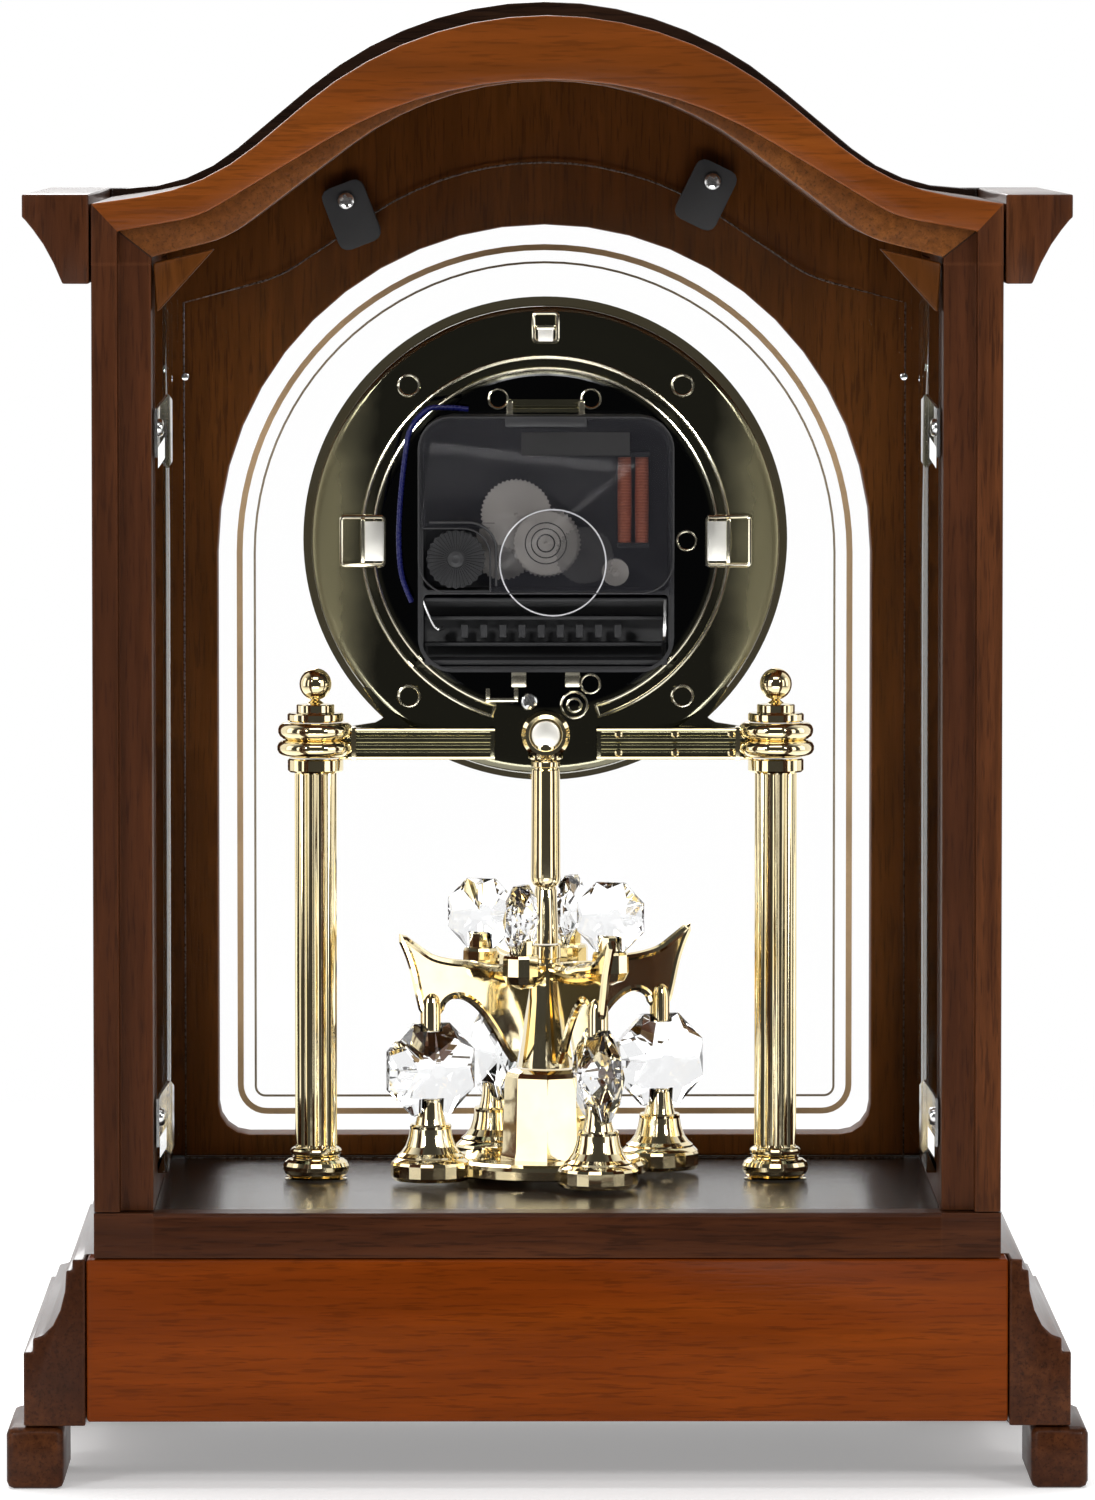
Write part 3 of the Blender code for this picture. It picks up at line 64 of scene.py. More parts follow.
REAR_Y = high("rear_apron").y
DIAL_Z = middle("dial_housing").z
HOUSING_REAR_Y = high("dial_housing").y
COLUMN_X = middle("column_left").x
AXIS_Y = middle("column_left").y
DIAL_CENTRE = (0.0, 0.0, DIAL_Z)
PENDULUM_AXIS = (0.0, AXIS_Y, 0.0)
# Points nearer than this are merged.
MERGE = 0.0001


# ---------------------------------------------------------------- materials
def feed(tree, socket, source):
    """Link an output to a socket, or set the socket to a number, a vector or a colour."""
    if isinstance(source, bpy.types.NodeSocket):
        tree.links.new(source, socket)
    else:
        socket.default_value = (*source, 1.0) if socket.type == "RGBA" else source


def add_node(tree, kind, output, inputs, **settings):
    """Add a node with its settings, feed its inputs and give back one of its outputs."""
    node = tree.nodes.new(f"ShaderNode{kind}")
    for label, value in settings.items():
        setattr(node, label, value)
    for label, source in inputs.items():
        feed(tree, node.inputs[label], source)
    return node.outputs[output]


class Surface:
    """A node material that is put together one step at a time."""

    def __init__(self, name, roughness=0.4, metallic=0.0, **sockets):
        self.material = bpy.data.materials.new(name)
        self.material.use_nodes = True
        self.tree = self.material.node_tree
        self.shader = self.tree.nodes["Principled BSDF"]
        self.shader.inputs["Roughness"].default_value = roughness
        self.shader.inputs["Metallic"].default_value = metallic
        for label, value in sockets.items():
            self.shader.inputs[label.replace("_", " ")].default_value = value
        self.place = self.node("TexCoord", "Object")

    def node(self, kind, output, inputs=None, **settings):
        """Add a node to the material and give back one of its outputs."""
        return add_node(self.tree, kind, output, inputs or {}, **settings)

    def fed(self, label, source):
        """Feed one of the shader's inputs."""
        feed(self.tree, self.shader.inputs[label], source)
        return self

    def noise(self, place, scale, detail=4.0, roughness=0.55, distortion=0.0):
        """A noise value over the surface."""
        inputs = {"Vector": place, "Scale": scale, "Detail": detail}
        return self.node("TexNoise", "Fac", {**inputs, "Roughness": roughness, "Distortion": distortion})

    def ramp(self, value, *stops):
        """Colours or greys spread along a value; each stop is (position, colour or grey)."""
        node = self.tree.nodes.new("ShaderNodeValToRGB")
        ends = node.color_ramp.elements
        while len(ends) < len(stops):
            ends.new(0.5)
        for end, (position, tone) in zip(ends, stops):
            end.position = position
            end.color = (*tone, 1.0) if isinstance(tone, tuple) else (tone, tone, tone, 1.0)
        self.tree.links.new(value, node.inputs["Fac"])
        return node.outputs["Color"]

    def mix(self, share, first, second):
        """Two colours mixed by a share, which is a number or an output."""
        return self.node("Mix", 2, {0: share, 6: first, 7: second}, data_type="RGBA")

    def spread(self, value, to_min, to_max, from_min=0.0, from_max=1.0):
        """A value moved from one range to another."""
        inputs = {"Value": value, "From Min": from_min, "From Max": from_max}
        return self.node("MapRange", "Result", {**inputs, "To Min": to_min, "To Max": to_max})

    def edges(self, radius):
        """1 near rounded or sharp edges and 0 on flat faces."""
        rounded = self.node("Bevel", "Normal", {"Radius": radius}, samples=4)
        flat = self.node("NewGeometry", "Normal")
        alike = self.node("VectorMath", "Value", {0: rounded, 1: flat}, operation="DOT_PRODUCT")
        return self.ramp(alike, (0.86, 1.0), (0.995, 0.0))

    def patched(self, scale, shade, tone, start=0.3, end=0.7):
        """Set the base colour to two tones in soft patches."""
        patches = self.noise(self.place, scale, 3.0)
        return self.fed("Base Color", self.ramp(patches, (start, shade), (end, tone)))

    def rough(self, value, least, most):
        """Spread the roughness between two limits by a value."""
        return self.fed("Roughness", self.spread(value, least, most))

    def bump(self, height, distance, strength=1.0):
        """Raise the surface by a height output, over the bumps that are there."""
        inputs = {"Height": height, "Distance": distance, "Strength": strength}
        last = self.shader.inputs["Normal"].links
        if last:
            inputs["Normal"] = last[0].from_socket
        return self.fed("Normal", self.node("Bump", "Normal", inputs))


GRAIN_AXES = {"x": (0.07, 1.0, 1.0), "y": (1.0, 0.07, 1.0), "z": (1.0, 1.0, 0.07)}
BLACK_TONE = (0.0, 0.0, 0.0)


def wood(name, tones, grain, roughness, coat, pores=0.5, gloss=0.09, wear_and_highlight=0.45, streak=0.75):
    """Stained and lacquered wood with its grain along an axis; its edges are lightened partly by wear and
    partly by a painted highlight.
    """
    dark, base, light = tones
    surface = Surface(name, Coat_Weight=coat, Coat_Roughness=0.12, Specular_IOR_Level=gloss)
    along = surface.node("Mapping", "Vector", {"Vector": surface.place, "Scale": GRAIN_AXES[grain]})
    figure = surface.noise(along, 26.0, 3.0, 0.6, 1.2)
    streaks = surface.noise(along, 420.0, 5.0, 0.65, 0.3)
    fine = surface.noise(along, 1500.0, 2.0, 0.6)
    blotches = surface.noise(surface.place, 14.0, 2.0, 0.5)
    tone = surface.ramp(figure, (0.28, dark), (0.5, base), (0.74, light))
    tone = surface.mix(surface.ramp(streaks, (0.38, streak), (0.62, 0.0)), tone, dark)
    tone = surface.mix(surface.ramp(fine, (0.36, pores), (0.46, 0.0)), tone, tuple(c * 0.35 for c in dark))
    tone = surface.mix(surface.ramp(blotches, (0.35, 0.28), (0.6, 0.0)), tone, dark)
    # Lighter edges: partly real wear through the stain, partly a painted highlight where the edges catch the
    # light.
    worn_and_highlit = tuple(min(1.0, c * 1.5 + 0.012) for c in light)
    tone = surface.mix(surface.mix(wear_and_highlight, BLACK_TONE, surface.edges(0.0007)), tone, worn_and_highlit)
    surface.fed("Base Color", tone)
    surface.rough(streaks, *roughness)
    surface.bump(fine, 0.00008, 0.5)
    surface.bump(streaks, 0.00015, 0.35)
    return surface.material


def gilt(name, tone, shade, least_rough, most_rough):
    """Bright plated metal with faint ripples and handling marks."""
    surface = Surface(name, metallic=1.0, Coat_Weight=0.3, Coat_Roughness=0.06)
    surface.patched(90.0, shade, tone, 0.35, 0.65)
    surface.rough(surface.noise(surface.place, 900.0, 3.0), least_rough, most_rough)
    surface.bump(surface.noise(surface.place, 260.0, 1.0), 0.00004, 0.5)
    return surface.material


# The housing's tone changes at these distances in metres from the dial's axis: the flanks' are
# measured sideways and the ring's all round.
FLANK_START, FLANK_END = 0.041, 0.051
INSIDE_RING, OUTSIDE_RING = 0.0366, 0.0374
FLANK_WAVER = 0.009


def housing_metal():
    """Dark plated metal: flanks painted a lighter olive as a highlight for the light their slope catches, a
    darker crown and a near black floor inside the ring.
    """
    surface = Surface("housing_gilt", Coat_Weight=0.12, Coat_Roughness=0.05)
    centre = Vector(DIAL_CENTRE) * MM
    centred = surface.node("VectorMath", "Vector", {0: surface.place, 1: centre}, operation="SUBTRACT")
    waves = surface.noise(surface.place, 55.0, 3.0, 0.7)
    across = surface.node("SeparateXYZ", "X", {"Vector": centred})
    aside = surface.node("Math", "Value", {0: across}, operation="ABSOLUTE")
    pushed = surface.node("Math", "Value", {0: waves, 1: FLANK_WAVER, 2: aside}, operation="MULTIPLY_ADD")
    flank = surface.spread(pushed, 0.0, 1.0, FLANK_START, FLANK_END)
    flat = surface.node("VectorMath", "Vector", {0: centred, 1: (1.0, 0.0, 1.0)}, operation="MULTIPLY")
    reach = surface.node("VectorMath", "Value", {0: flat}, operation="LENGTH")
    outside = surface.spread(reach, 0.0, 1.0, INSIDE_RING, OUTSIDE_RING)
    # The flanks' lighter olive is a painted highlight, standing for the light that their slope catches.
    tone = surface.mix(flank, (0.20, 0.19, 0.13), (0.25, 0.225, 0.125))
    surface.fed("Base Color", surface.mix(outside, (0.028, 0.029, 0.030), tone))
    surface.rough(flank, 0.07, 0.3)
    surface.fed("Metallic", surface.spread(flank, 1.0, 0.7))
    surface.bump(surface.noise(surface.place, 260.0, 1.0), 0.00004, 0.5)
    return surface.material


def plastic(name, tone, shade, least_rough, most_rough, grain=1800.0, **sockets):
    """Moulded plastic with a fine texture."""
    surface = Surface(name, **sockets)
    surface.patched(60.0, shade, tone)
    fine = surface.noise(surface.place, grain, 2.0)
    surface.rough(fine, least_rough, most_rough)
    surface.bump(fine, 0.00003, 0.4)
    return surface.material


def smeared(surface, tone, shading, roughest):
    """Give clear glass or crystal faintly darker patches and rougher smears."""
    smears = surface.noise(surface.place, 35.0)
    surface.fed("Base Color", surface.ramp(smears, (0.3, tuple(c * shading for c in tone)), (0.7, tone)))
    surface.rough(surface.ramp(smears, (0.62, 0.0), (0.8, 1.0)), 0.0, roughest)
    return surface


def crystal(name, tone, ior, roughest):
    """Cut crystal."""
    surface = Surface(name, Transmission_Weight=1.0, IOR=ior)
    return smeared(surface, tone, 0.985, roughest).material


def pane(name, tone, ior, roughest):
    """Thin window glass: seen through face on and mirror-like at low angles."""
    surface = smeared(Surface(name, metallic=1.0), tone, 0.94, roughest)
    return surface.fed("Alpha", surface.node("Fresnel", "Fac", {"IOR": ior})).material


RED_TONES = ((0.034, 0.0100, 0.0030), (0.074, 0.0215, 0.0062), (0.120, 0.037, 0.0100))
DEEP_RED_TONES = ((0.027, 0.0078, 0.0024), (0.058, 0.0165, 0.0048), (0.094, 0.0285, 0.0078))
ORANGE_TONES = ((0.085, 0.0160, 0.0012), (0.150, 0.0255, 0.0014), (0.215, 0.0420, 0.0026))
# The arch rail's tones are a lighter copy of the orange apron's: painted light for the brighter light at the
# top of the case.
LIT_ARCH_TONES = ((0.100, 0.0250, 0.0030), (0.165, 0.0395, 0.0042), (0.240, 0.0640, 0.0075))
BROWN_TONES = ((0.062, 0.0190, 0.0028), (0.090, 0.0270, 0.0042), (0.118, 0.0370, 0.0062))
# The soffit's tones are raised as painted light: the underside of the roof is brightened to stand for the
# light that reaches up under it.
LIT_SOFFIT_TONES = ((0.070, 0.0210, 0.0040), (0.130, 0.0410, 0.0070), (0.190, 0.063, 0.0110))
BLACK_TONES = ((0.009, 0.0042, 0.0024), (0.022, 0.0096, 0.0048), (0.042, 0.018, 0.0080))

RED_WOOD_UP = wood("red_wood_upright", RED_TONES, "z", (0.3, 0.45), 0.04, wear_and_highlight=0.15)
RED_WOOD_ALONG = wood("red_wood_along", DEEP_RED_TONES, "y", (0.28, 0.42), 0.05)
RED_WOOD_ACROSS = wood("red_wood_across", DEEP_RED_TONES, "x", (0.28, 0.42), 0.05, wear_and_highlight=0.15)
MOULDING_WOOD = wood("moulding_wood", RED_TONES, "y", (0.28, 0.42), 0.6, wear_and_highlight=0.3)
FRONT_MOULDING_WOOD = wood("front_moulding_wood", RED_TONES, "x", (0.28, 0.42), 0.6, wear_and_highlight=0.3)
ORANGE_WOOD = wood("orange_wood", ORANGE_TONES, "x", (0.26, 0.4), 0.02, 0.35, gloss=0.05, streak=0.4)
LIT_ARCH_WOOD = wood("lit_arch_wood", LIT_ARCH_TONES, "x", (0.26, 0.4), 0.04, 0.35, streak=0.55)
BROWN_WOOD = wood("brown_wood", BROWN_TONES, "z", (0.34, 0.5), 0.02, gloss=0.05)
# Near black wood: real dark joints on the mitre lines, and painted shade on the front pediment, whose rear
# face lies in shadow.
DARK_WOOD_AND_SHADE = wood("dark_wood", BLACK_TONES, "x", (0.16, 0.3), 0.4)
LIT_ROOF_WOOD = wood("lit_roof_wood", LIT_SOFFIT_TONES, "y", (0.26, 0.4), 0.04)
FLOOR_WOOD = wood("floor_wood", BLACK_TONES, "x", (0.2, 0.3), 0.1, gloss=0.5)
GOLD = gilt("polished_gilt", (0.96, 0.83, 0.53), (0.91, 0.76, 0.44), 0.04, 0.10)
SMOKED = gilt("smoked_gilt", (0.44, 0.41, 0.27), (0.32, 0.30, 0.19), 0.08, 0.14)
PALE_GOLD = gilt("pale_gilt", (0.95, 0.90, 0.72), (0.84, 0.77, 0.58), 0.12, 0.22)
STEEL = gilt("bright_steel", (0.78, 0.78, 0.77), (0.58, 0.58, 0.58), 0.12, 0.28)
SATIN = gilt("satin_nickel", (0.92, 0.90, 0.84), (0.80, 0.78, 0.72), 0.38, 0.5)
HOUSING = housing_metal()
BLACK = plastic("black_plastic", (0.013, 0.013, 0.015), (0.006, 0.006, 0.007), 0.36, 0.52)
MATTE_BLACK = plastic("matte_black", (0.014, 0.014, 0.016), (0.008, 0.008, 0.009), 0.45, 0.62)
# The front pane's edge line: its dark brown is a painted reflection of the case's wood in the glass edge.
PANE_EDGE_REFLECTION = plastic("pane_edge_reflection", (0.050, 0.028, 0.018), (0.030, 0.016, 0.010), 0.2, 0.35)
WHITE = plastic("white_plastic", (0.58, 0.54, 0.50), (0.44, 0.41, 0.38), 0.3, 0.5)
NYLON = plastic("translucent_nylon", (0.30, 0.29, 0.28), (0.22, 0.21, 0.20), 0.2, 0.35, Alpha=0.12)
BLUE = plastic("blue_insulation", (0.008, 0.010, 0.11), (0.005, 0.007, 0.07), 0.2, 0.35)
SMOKE = plastic("smoke_cover", (0.030, 0.030, 0.036), (0.018, 0.018, 0.022), 0.06, 0.16, 900.0, Alpha=0.27)
MOULDED_LINE = plastic("moulded_line", (0.62, 0.62, 0.64), (0.40, 0.40, 0.43), 0.15, 0.3)
GLASS = pane("pane_glass", (0.90, 0.96, 0.94), 1.12, 0.02)
CRYSTAL = crystal("cut_crystal", (0.99, 0.995, 1.0), 1.5, 0.004)
TAN_INK = plastic("tan_ink", (0.50, 0.335, 0.185), (0.40, 0.26, 0.14), 0.35, 0.5)
GREY_INK = plastic("grey_ink", (0.30, 0.24, 0.17), (0.24, 0.19, 0.13), 0.35, 0.5)
DIAL_PAINT = plastic("dial_paint", (0.86, 0.83, 0.74), (0.80, 0.76, 0.66), 0.3, 0.45, 2600.0)
INK_BLACK = plastic("ink_black", (0.012, 0.011, 0.012), (0.006, 0.006, 0.006), 0.3, 0.45)


def winding():
    """Enamelled copper wire wound in turns that run across the spool."""
    surface = Surface("copper_winding", metallic=0.2)
    inputs = {"Vector": surface.place, "Scale": 950.0, "Distortion": 0.6}
    turns = surface.node("TexWave", "Fac", inputs, bands_direction="Z")
    surface.fed("Base Color", surface.ramp(turns, (0.1, (0.45, 0.10, 0.05)), (0.8, (0.90, 0.30, 0.17))))
    surface.rough(turns, 0.25, 0.45)
    surface.bump(turns, 0.0002)
    return surface.material


COPPER = winding()


# ---------------------------------------------------------------- shape helpers, all in millimetres
SHARP_DEG = 28.0


def smooth(obj, angle=32.0):
    """Smooth shading that keeps the edges sharper than an angle."""
    obj.data.shade_smooth()
    obj.data.set_sharp_from_angle(angle=radians(angle))


def scaled(shape, factor):
    """The same bmesh in another size."""
    bmesh.ops.scale(shape, vec=(factor, factor, factor), verts=shape.verts)
    return shape


def opened(mesh):
    """A bmesh from a mesh."""
    shape = bmesh.new()
    shape.from_mesh(mesh)
    return shape


def stored(shape, mesh):
    """Write a bmesh into a mesh and free it."""
    shape.to_mesh(mesh)
    shape.free()
    return mesh


def linked(name, data):
    """A new object in the scene."""
    obj = bpy.data.objects.new(name, data)
    bpy.context.scene.collection.objects.link(obj)
    return obj


def solid(name, shape):
    """A new object in metres from a bmesh in millimetres."""
    scaled(shape, MM)
    bmesh.ops.recalc_face_normals(shape, faces=shape.faces)
    return linked(name, stored(shape, bpy.data.meshes.new(name)))


def settled(obj):
    """A new mesh with the object's modifiers or curve worked out."""
    bpy.context.view_layer.update()
    return bpy.data.meshes.new_from_object(obj.evaluated_get(bpy.context.evaluated_depsgraph_get()))


def piece(name, shape, surface, body=CASE, stands_for=(), angle=32.0):
    """An object from a bmesh in millimetres, riding on a body."""
    obj = solid(name, shape)
    obj.data.materials.append(surface)
    smooth(obj, angle)
    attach(obj, body)
    if stands_for:
        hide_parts(*stands_for)
    return obj


def finished(node, shape, surface, body=CASE, angle=32.0):
    """The detailed shape that takes a CAD node's place."""
    return piece(f"{node}_finished", shape, surface, body, (node,), angle)


def joined(*shapes):
    """One bmesh from several."""
    whole = bmesh.new()
    for shape in shapes:
        mesh = stored(shape, bpy.data.meshes.new("part"))
        whole.from_mesh(mesh)
        bpy.data.meshes.remove(mesh)
    return whole


def moved(shape, matrix):
    """The same bmesh after a transform."""
    bmesh.ops.transform(shape, matrix=matrix, verts=shape.verts)
    return shape


def shifted(shape, across=0.0, deep=0.0, up=0.0):
    """The same bmesh moved along the axes."""
    return moved(shape, Matrix.Translation((across, deep, up)))


def bevelled(shape, width, segments, flush=()):
    """Round the sharp edges, but none that lies at a flush height."""
    sharp = [edge for edge in shape.edges if edge.calc_face_angle(0.0) > radians(SHARP_DEG)]
    for height in flush:
        sharp = [edge for edge in sharp if any(abs(vert.co.z - height) > 0.05 for vert in edge.verts)]
    settings = {"segments": segments, "profile": 0.6, "affect": "EDGES", "clamp_overlap": True}
    bmesh.ops.bevel(shape, geom=sharp, offset=width, **settings)
    return shape


def skin(rows, caps=True):
    """A surface through rows of points that close on themselves."""
    shape = bmesh.new()
    grid = [[shape.verts.new(point) for point in row] for row in rows]
    for lower, upper in zip(grid, grid[1:]):
        count = len(lower)
        for index in range(count):
            after = (index + 1) % count
            shape.faces.new((lower[index], lower[after], upper[after], upper[index]))
    if caps:
        shape.faces.new(grid[0][::-1])
        shape.faces.new(grid[-1])
    return shape


def looped(rows):
    """A surface through rows of points whose last row is the first one again."""
    shape = skin(rows, caps=False)
    bmesh.ops.remove_doubles(shape, verts=shape.verts, dist=MERGE)
    return shape


def turned(profile, centre=(0.0, 0.0, 0.0), along="z", steps=48, ring=False):
    """A turned shape from (radius, height) points; a ring's profile closes on itself."""
    shape = bmesh.new()
    loops = []
    for radius, height in profile:
        angles = [2.0 * pi * step / steps for step in range(steps if radius > MERGE else 1)]
        loops.append([shape.verts.new((radius * cos(turn), radius * sin(turn), height)) for turn in angles])
    pairs = list(zip(loops, loops[1:]))
    if ring:
        pairs.append((loops[-1], loops[0]))
    for first, second in pairs:
        for step in range(steps):
            spots = ((first, step), (second, step), (second, step + 1), (first, step + 1))
            corners = list(dict.fromkeys(loop[place % len(loop)] for loop, place in spots))
            if len(corners) > 2:
                shape.faces.new(corners)
    if along == "y":
        moved(shape, Matrix(((1, 0, 0, 0), (0, 0, 1, 0), (0, 1, 0, 0), (0, 0, 0, 1))))
    return shifted(shape, *centre)


# Where a point of an outline lies once the outline is pushed along an axis.
TO_AXIS = {
    "x": lambda across, up, deep: (deep, across, up),
    "y": lambda across, up, deep: (across, deep, up),
    "z": lambda across, up, deep: (across, up, deep),
}


def prism(outline, start, end, along="y", bevel=0.0, segments=2):
    """An outline pushed along an axis between two places."""
    place = TO_AXIS[along]
    rows = [[place(across, up, deep) for across, up in outline] for deep in (start, end)]
    shape = skin(rows)
    bmesh.ops.recalc_face_normals(shape, faces=shape.faces)
    return bevelled(shape, bevel, segments) if bevel else shape


def block(low_corner, high_corner, bevel=0.3, segments=2):
    """A box between two corners with rounded edges."""
    shape = bmesh.new()
    bmesh.ops.create_cube(shape, size=1.0)
    low_corner, high_corner = Vector(low_corner), Vector(high_corner)
    bmesh.ops.scale(shape, vec=high_corner - low_corner, verts=shape.verts)
    shifted(shape, *((low_corner + high_corner) / 2.0))
    return bevelled(shape, bevel, segments) if bevel else shape


def tube(points, radius, sides=10, closed=False):
    """A round wire through points."""
    points = [Vector(point) for point in points]
    count = len(points)
    rows = []
    side = None
    for index, point in enumerate(points):
        before = points[index - 1] if closed or index else point
        after = points[(index + 1) % count] if closed or index < count - 1 else point
        forward = (after - before).normalized()
        if side is None:
            side = forward.orthogonal().normalized()
        side = (side - forward * side.dot(forward)).normalized()
        upward = forward.cross(side)
        angles = [2.0 * pi * step / sides for step in range(sides)]
        rows.append([point + side * cos(angle) * radius + upward * sin(angle) * radius for angle in angles])
    return looped([*rows, rows[0]]) if closed else skin(rows)


def arc(centre, radius, start_deg, end_deg, steps):
    """Points along a circle's arc."""
    points = []
    for step in range(steps + 1):
        angle = radians(start_deg + (end_deg - start_deg) * step / steps)
        points.append((centre[0] + radius * cos(angle), centre[1] + radius * sin(angle)))
    return points


def curve_through(points, steps=6):
    """A smooth curve through points in a plane or in space."""
    result = []
    count = len(points)
    for index in range(count - 1):
        before = points[max(index - 1, 0)]
        start, end = points[index], points[index + 1]
        after = points[min(index + 2, count - 1)]
        for step in range(steps):
            t = step / steps
            spot = []
            for a, b, c, d in zip(before, start, end, after):
                bend = (2.0 * a - 5.0 * b + 4.0 * c - d) * t * t
                twist = (3.0 * b - a - 3.0 * c + d) * t * t * t
                spot.append(0.5 * (2.0 * b + (c - a) * t + bend + twist))
            result.append(tuple(spot))
    result.append(points[-1])
    return result


def rounded_box(low_corner, high_corner, radius, steps=6):
    """A rectangular outline with round corners."""
    left, right = low_corner[0] + radius, high_corner[0] - radius
    bottom, top = low_corner[1] + radius, high_corner[1] - radius
    points = []
    for quarter, centre in enumerate(((right, top), (left, top), (left, bottom), (right, bottom))):
        points += arc(centre, radius, 90.0 * quarter, 90.0 * quarter + 90.0, steps)
    return points


def band(outer, inner, start, end):
    """A flat upright ring between two outlines that have as many points as each other."""
    rows = []
    for outline, deep in ((outer, start), (outer, end), (inner, end), (inner, start), (outer, start)):
        rows.append([(across, deep, up) for across, up in outline])
    return looped(rows)


def pan_screw(name, spot, radius, direction=(0.0, 1.0, 0.0), turn_deg=20.0, body=CASE):
    """A pan head screw with a cross recess: its flat side is at spot and it faces a direction."""
    height = radius * 0.62
    profile = [(0.0, 0.0), (radius, 0.0), (radius, height * 0.35), (radius * 0.86, height * 0.78)]
    profile += [(radius * 0.55, height), (0.0, height)]
    head = turned(profile, steps=28)
    arm, half = radius * 0.66, radius * 0.17
    cross = []
    for quarter in range(4):
        for corner in ((arm, -half), (arm, half), (half, half)):
            cross.append(tuple(Matrix.Rotation(quarter * pi / 2.0, 2) @ Vector(corner)))
    recess = prism(cross, height * 0.45, height * 1.4, "z")
    aim = Matrix.Translation(spot) @ Vector(direction).to_track_quat("Z", "Y").to_matrix().to_4x4()
    aim = aim @ Matrix.Rotation(radians(turn_deg), 4, "Z")
    obj = piece(name, moved(head, aim), STEEL, body, angle=25.0)
    hollow(obj, moved(recess, aim))


def hollow(obj, shape):
    """Cut a bmesh in millimetres out of an object's mesh for good."""
    cutter = solid("cutter", shape)
    step = obj.modifiers.new("cut", "BOOLEAN")
    step.operation = "DIFFERENCE"
    step.solver = "EXACT"
    step.object = cutter
    made = settled(obj)
    obj.modifiers.clear()
    obj.data = made
    bpy.data.objects.remove(cutter, do_unlink=True)
    smooth(obj, SHARP_DEG)


def softened(node, surface, bevel, body=CASE, segments=2, flush=(), reshape=None):
    """A CAD node's shape with its edges rounded, in a material of its own."""
    shape = scaled(opened(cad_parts[node].data), 1.0 / MM)
    bmesh.ops.remove_doubles(shape, verts=shape.verts, dist=0.005)
    bmesh.ops.dissolve_limit(shape, angle_limit=radians(0.6), verts=shape.verts, edges=shape.edges)
    if reshape:
        for vert in shape.verts:
            vert.co = reshape(vert.co)
    if bevel:
        bevelled(shape, bevel, segments, flush)
    return finished(node, shape, surface, body)


# ---------------------------------------------------------------- wooden case
# The rear frame's mitre as (x, z), from its outer corner past the lip to its inner corner.
FRAME_MITRE = ((97.0, 275.02), (91.4, 269.11), (84.3, 263.56))
LIPPING_DEPTH = 8.0
LIPPING_ROUND = 1.3


def mitred(obj, start, end, surface):
    """Give the legs under the mitre line, on both sides, another wood."""
    obj.data.materials.append(surface)
    shape = opened(obj.data)
    for sign in (1.0, -1.0):
        corner = Vector((sign * start[0], 0.0, start[1])) * MM
        normal = Vector((sign * (start[1] - end[1]), 0.0, end[0] - start[0]))
        geometry = shape.verts[:] + shape.edges[:] + shape.faces[:]
        bmesh.ops.bisect_plane(shape, geom=geometry, plane_co=corner, plane_no=normal, dist=0.000001)
        for face in shape.faces:
            spot = face.calc_center_median()
            if normal.dot(spot - corner) > 0.0 and spot.x * sign > 0.0:
                face.material_index = 1
    stored(shape, obj.data)
    smooth(obj)


CORNICE_REACH = 14.5
CORNICE_FOOT_REACH = 5.9
COVE_HOLLOW = 0.52


def eased_cove(spot):
    """Where a point of the cornice goes when its deep round cove becomes a slanted, shallow one."""
    side_x, front_y = high("side_panel_left").x, low("front_board").y
    reach = max(abs(spot.x) - side_x, front_y - spot.y)
    inward = (CORNICE_REACH - reach) / (CORNICE_REACH - CORNICE_FOOT_REACH)
    if not 0.01 < inward < 0.97:
        return spot
    drop = 1.0 - sqrt(1.0 - inward * inward)
    eased = drop * (1.0 + COVE_HOLLOW * (1.0 - drop))
    outward = (inward - eased) * (CORNICE_REACH - CORNICE_FOOT_REACH)
    moved_spot = spot.copy()
    if abs(spot.x) > side_x:
        moved_spot.x += outward if spot.x > 0.0 else -outward
    if spot.y < front_y:
        moved_spot.y -= outward
    return moved_spot


def refaced(obj, surface, direction, least):
    """Give the faces that look in a direction another surface."""
    obj.data.materials.append(surface)
    for face in obj.data.polygons:
        if face.normal.dot(direction) > least:
            face.material_index = len(obj.data.materials) - 1


def build_case():
    """The wooden pieces, each with the grain of its own board."""
    boards = (
        (BROWN_WOOD, 0.8, "brown_wood", ("front_board", "corner_block_left", "corner_block_right")),
        # The front pediment's near black wood is painted shade: seen from behind, its rear face lies in
        # shadow.
        (DARK_WOOD_AND_SHADE, 0.4, "dark_wood", ("front_pediment",)),
        (MOULDING_WOOD, 0.4, "dark_wood", ("side_cornice_left", "side_cornice_right")),
        (ORANGE_WOOD, 0.5, "orange_wood", ("rear_apron",)),
        (MOULDING_WOOD, 0.5, "red_wood", ("base_moulding_left", "base_moulding_right")),
        (FRONT_MOULDING_WOOD, 0.5, "red_wood", ("base_moulding_front",)),
        (RED_WOOD_ALONG, 0.0, "red_wood", ("foot_rear_left", "foot_rear_right")),
        (RED_WOOD_ALONG, 0.0, "red_wood", ("foot_front_left", "foot_front_right")),
    )
    for surface, bevel, slot, nodes in boards:
        for node in nodes:
            reshape = eased_cove if "cornice" in node or "pediment" in node else None
            board = softened(node, surface, bevel, reshape=reshape)
            if surface is MOULDING_WOOD:
                ends = RED_WOOD_UP if "cornice" in node else RED_WOOD_ALONG
                refaced(board, ends, Vector((0.0, 1.0, 0.0)), 0.9)
    build_frame()
    build_floor_board()


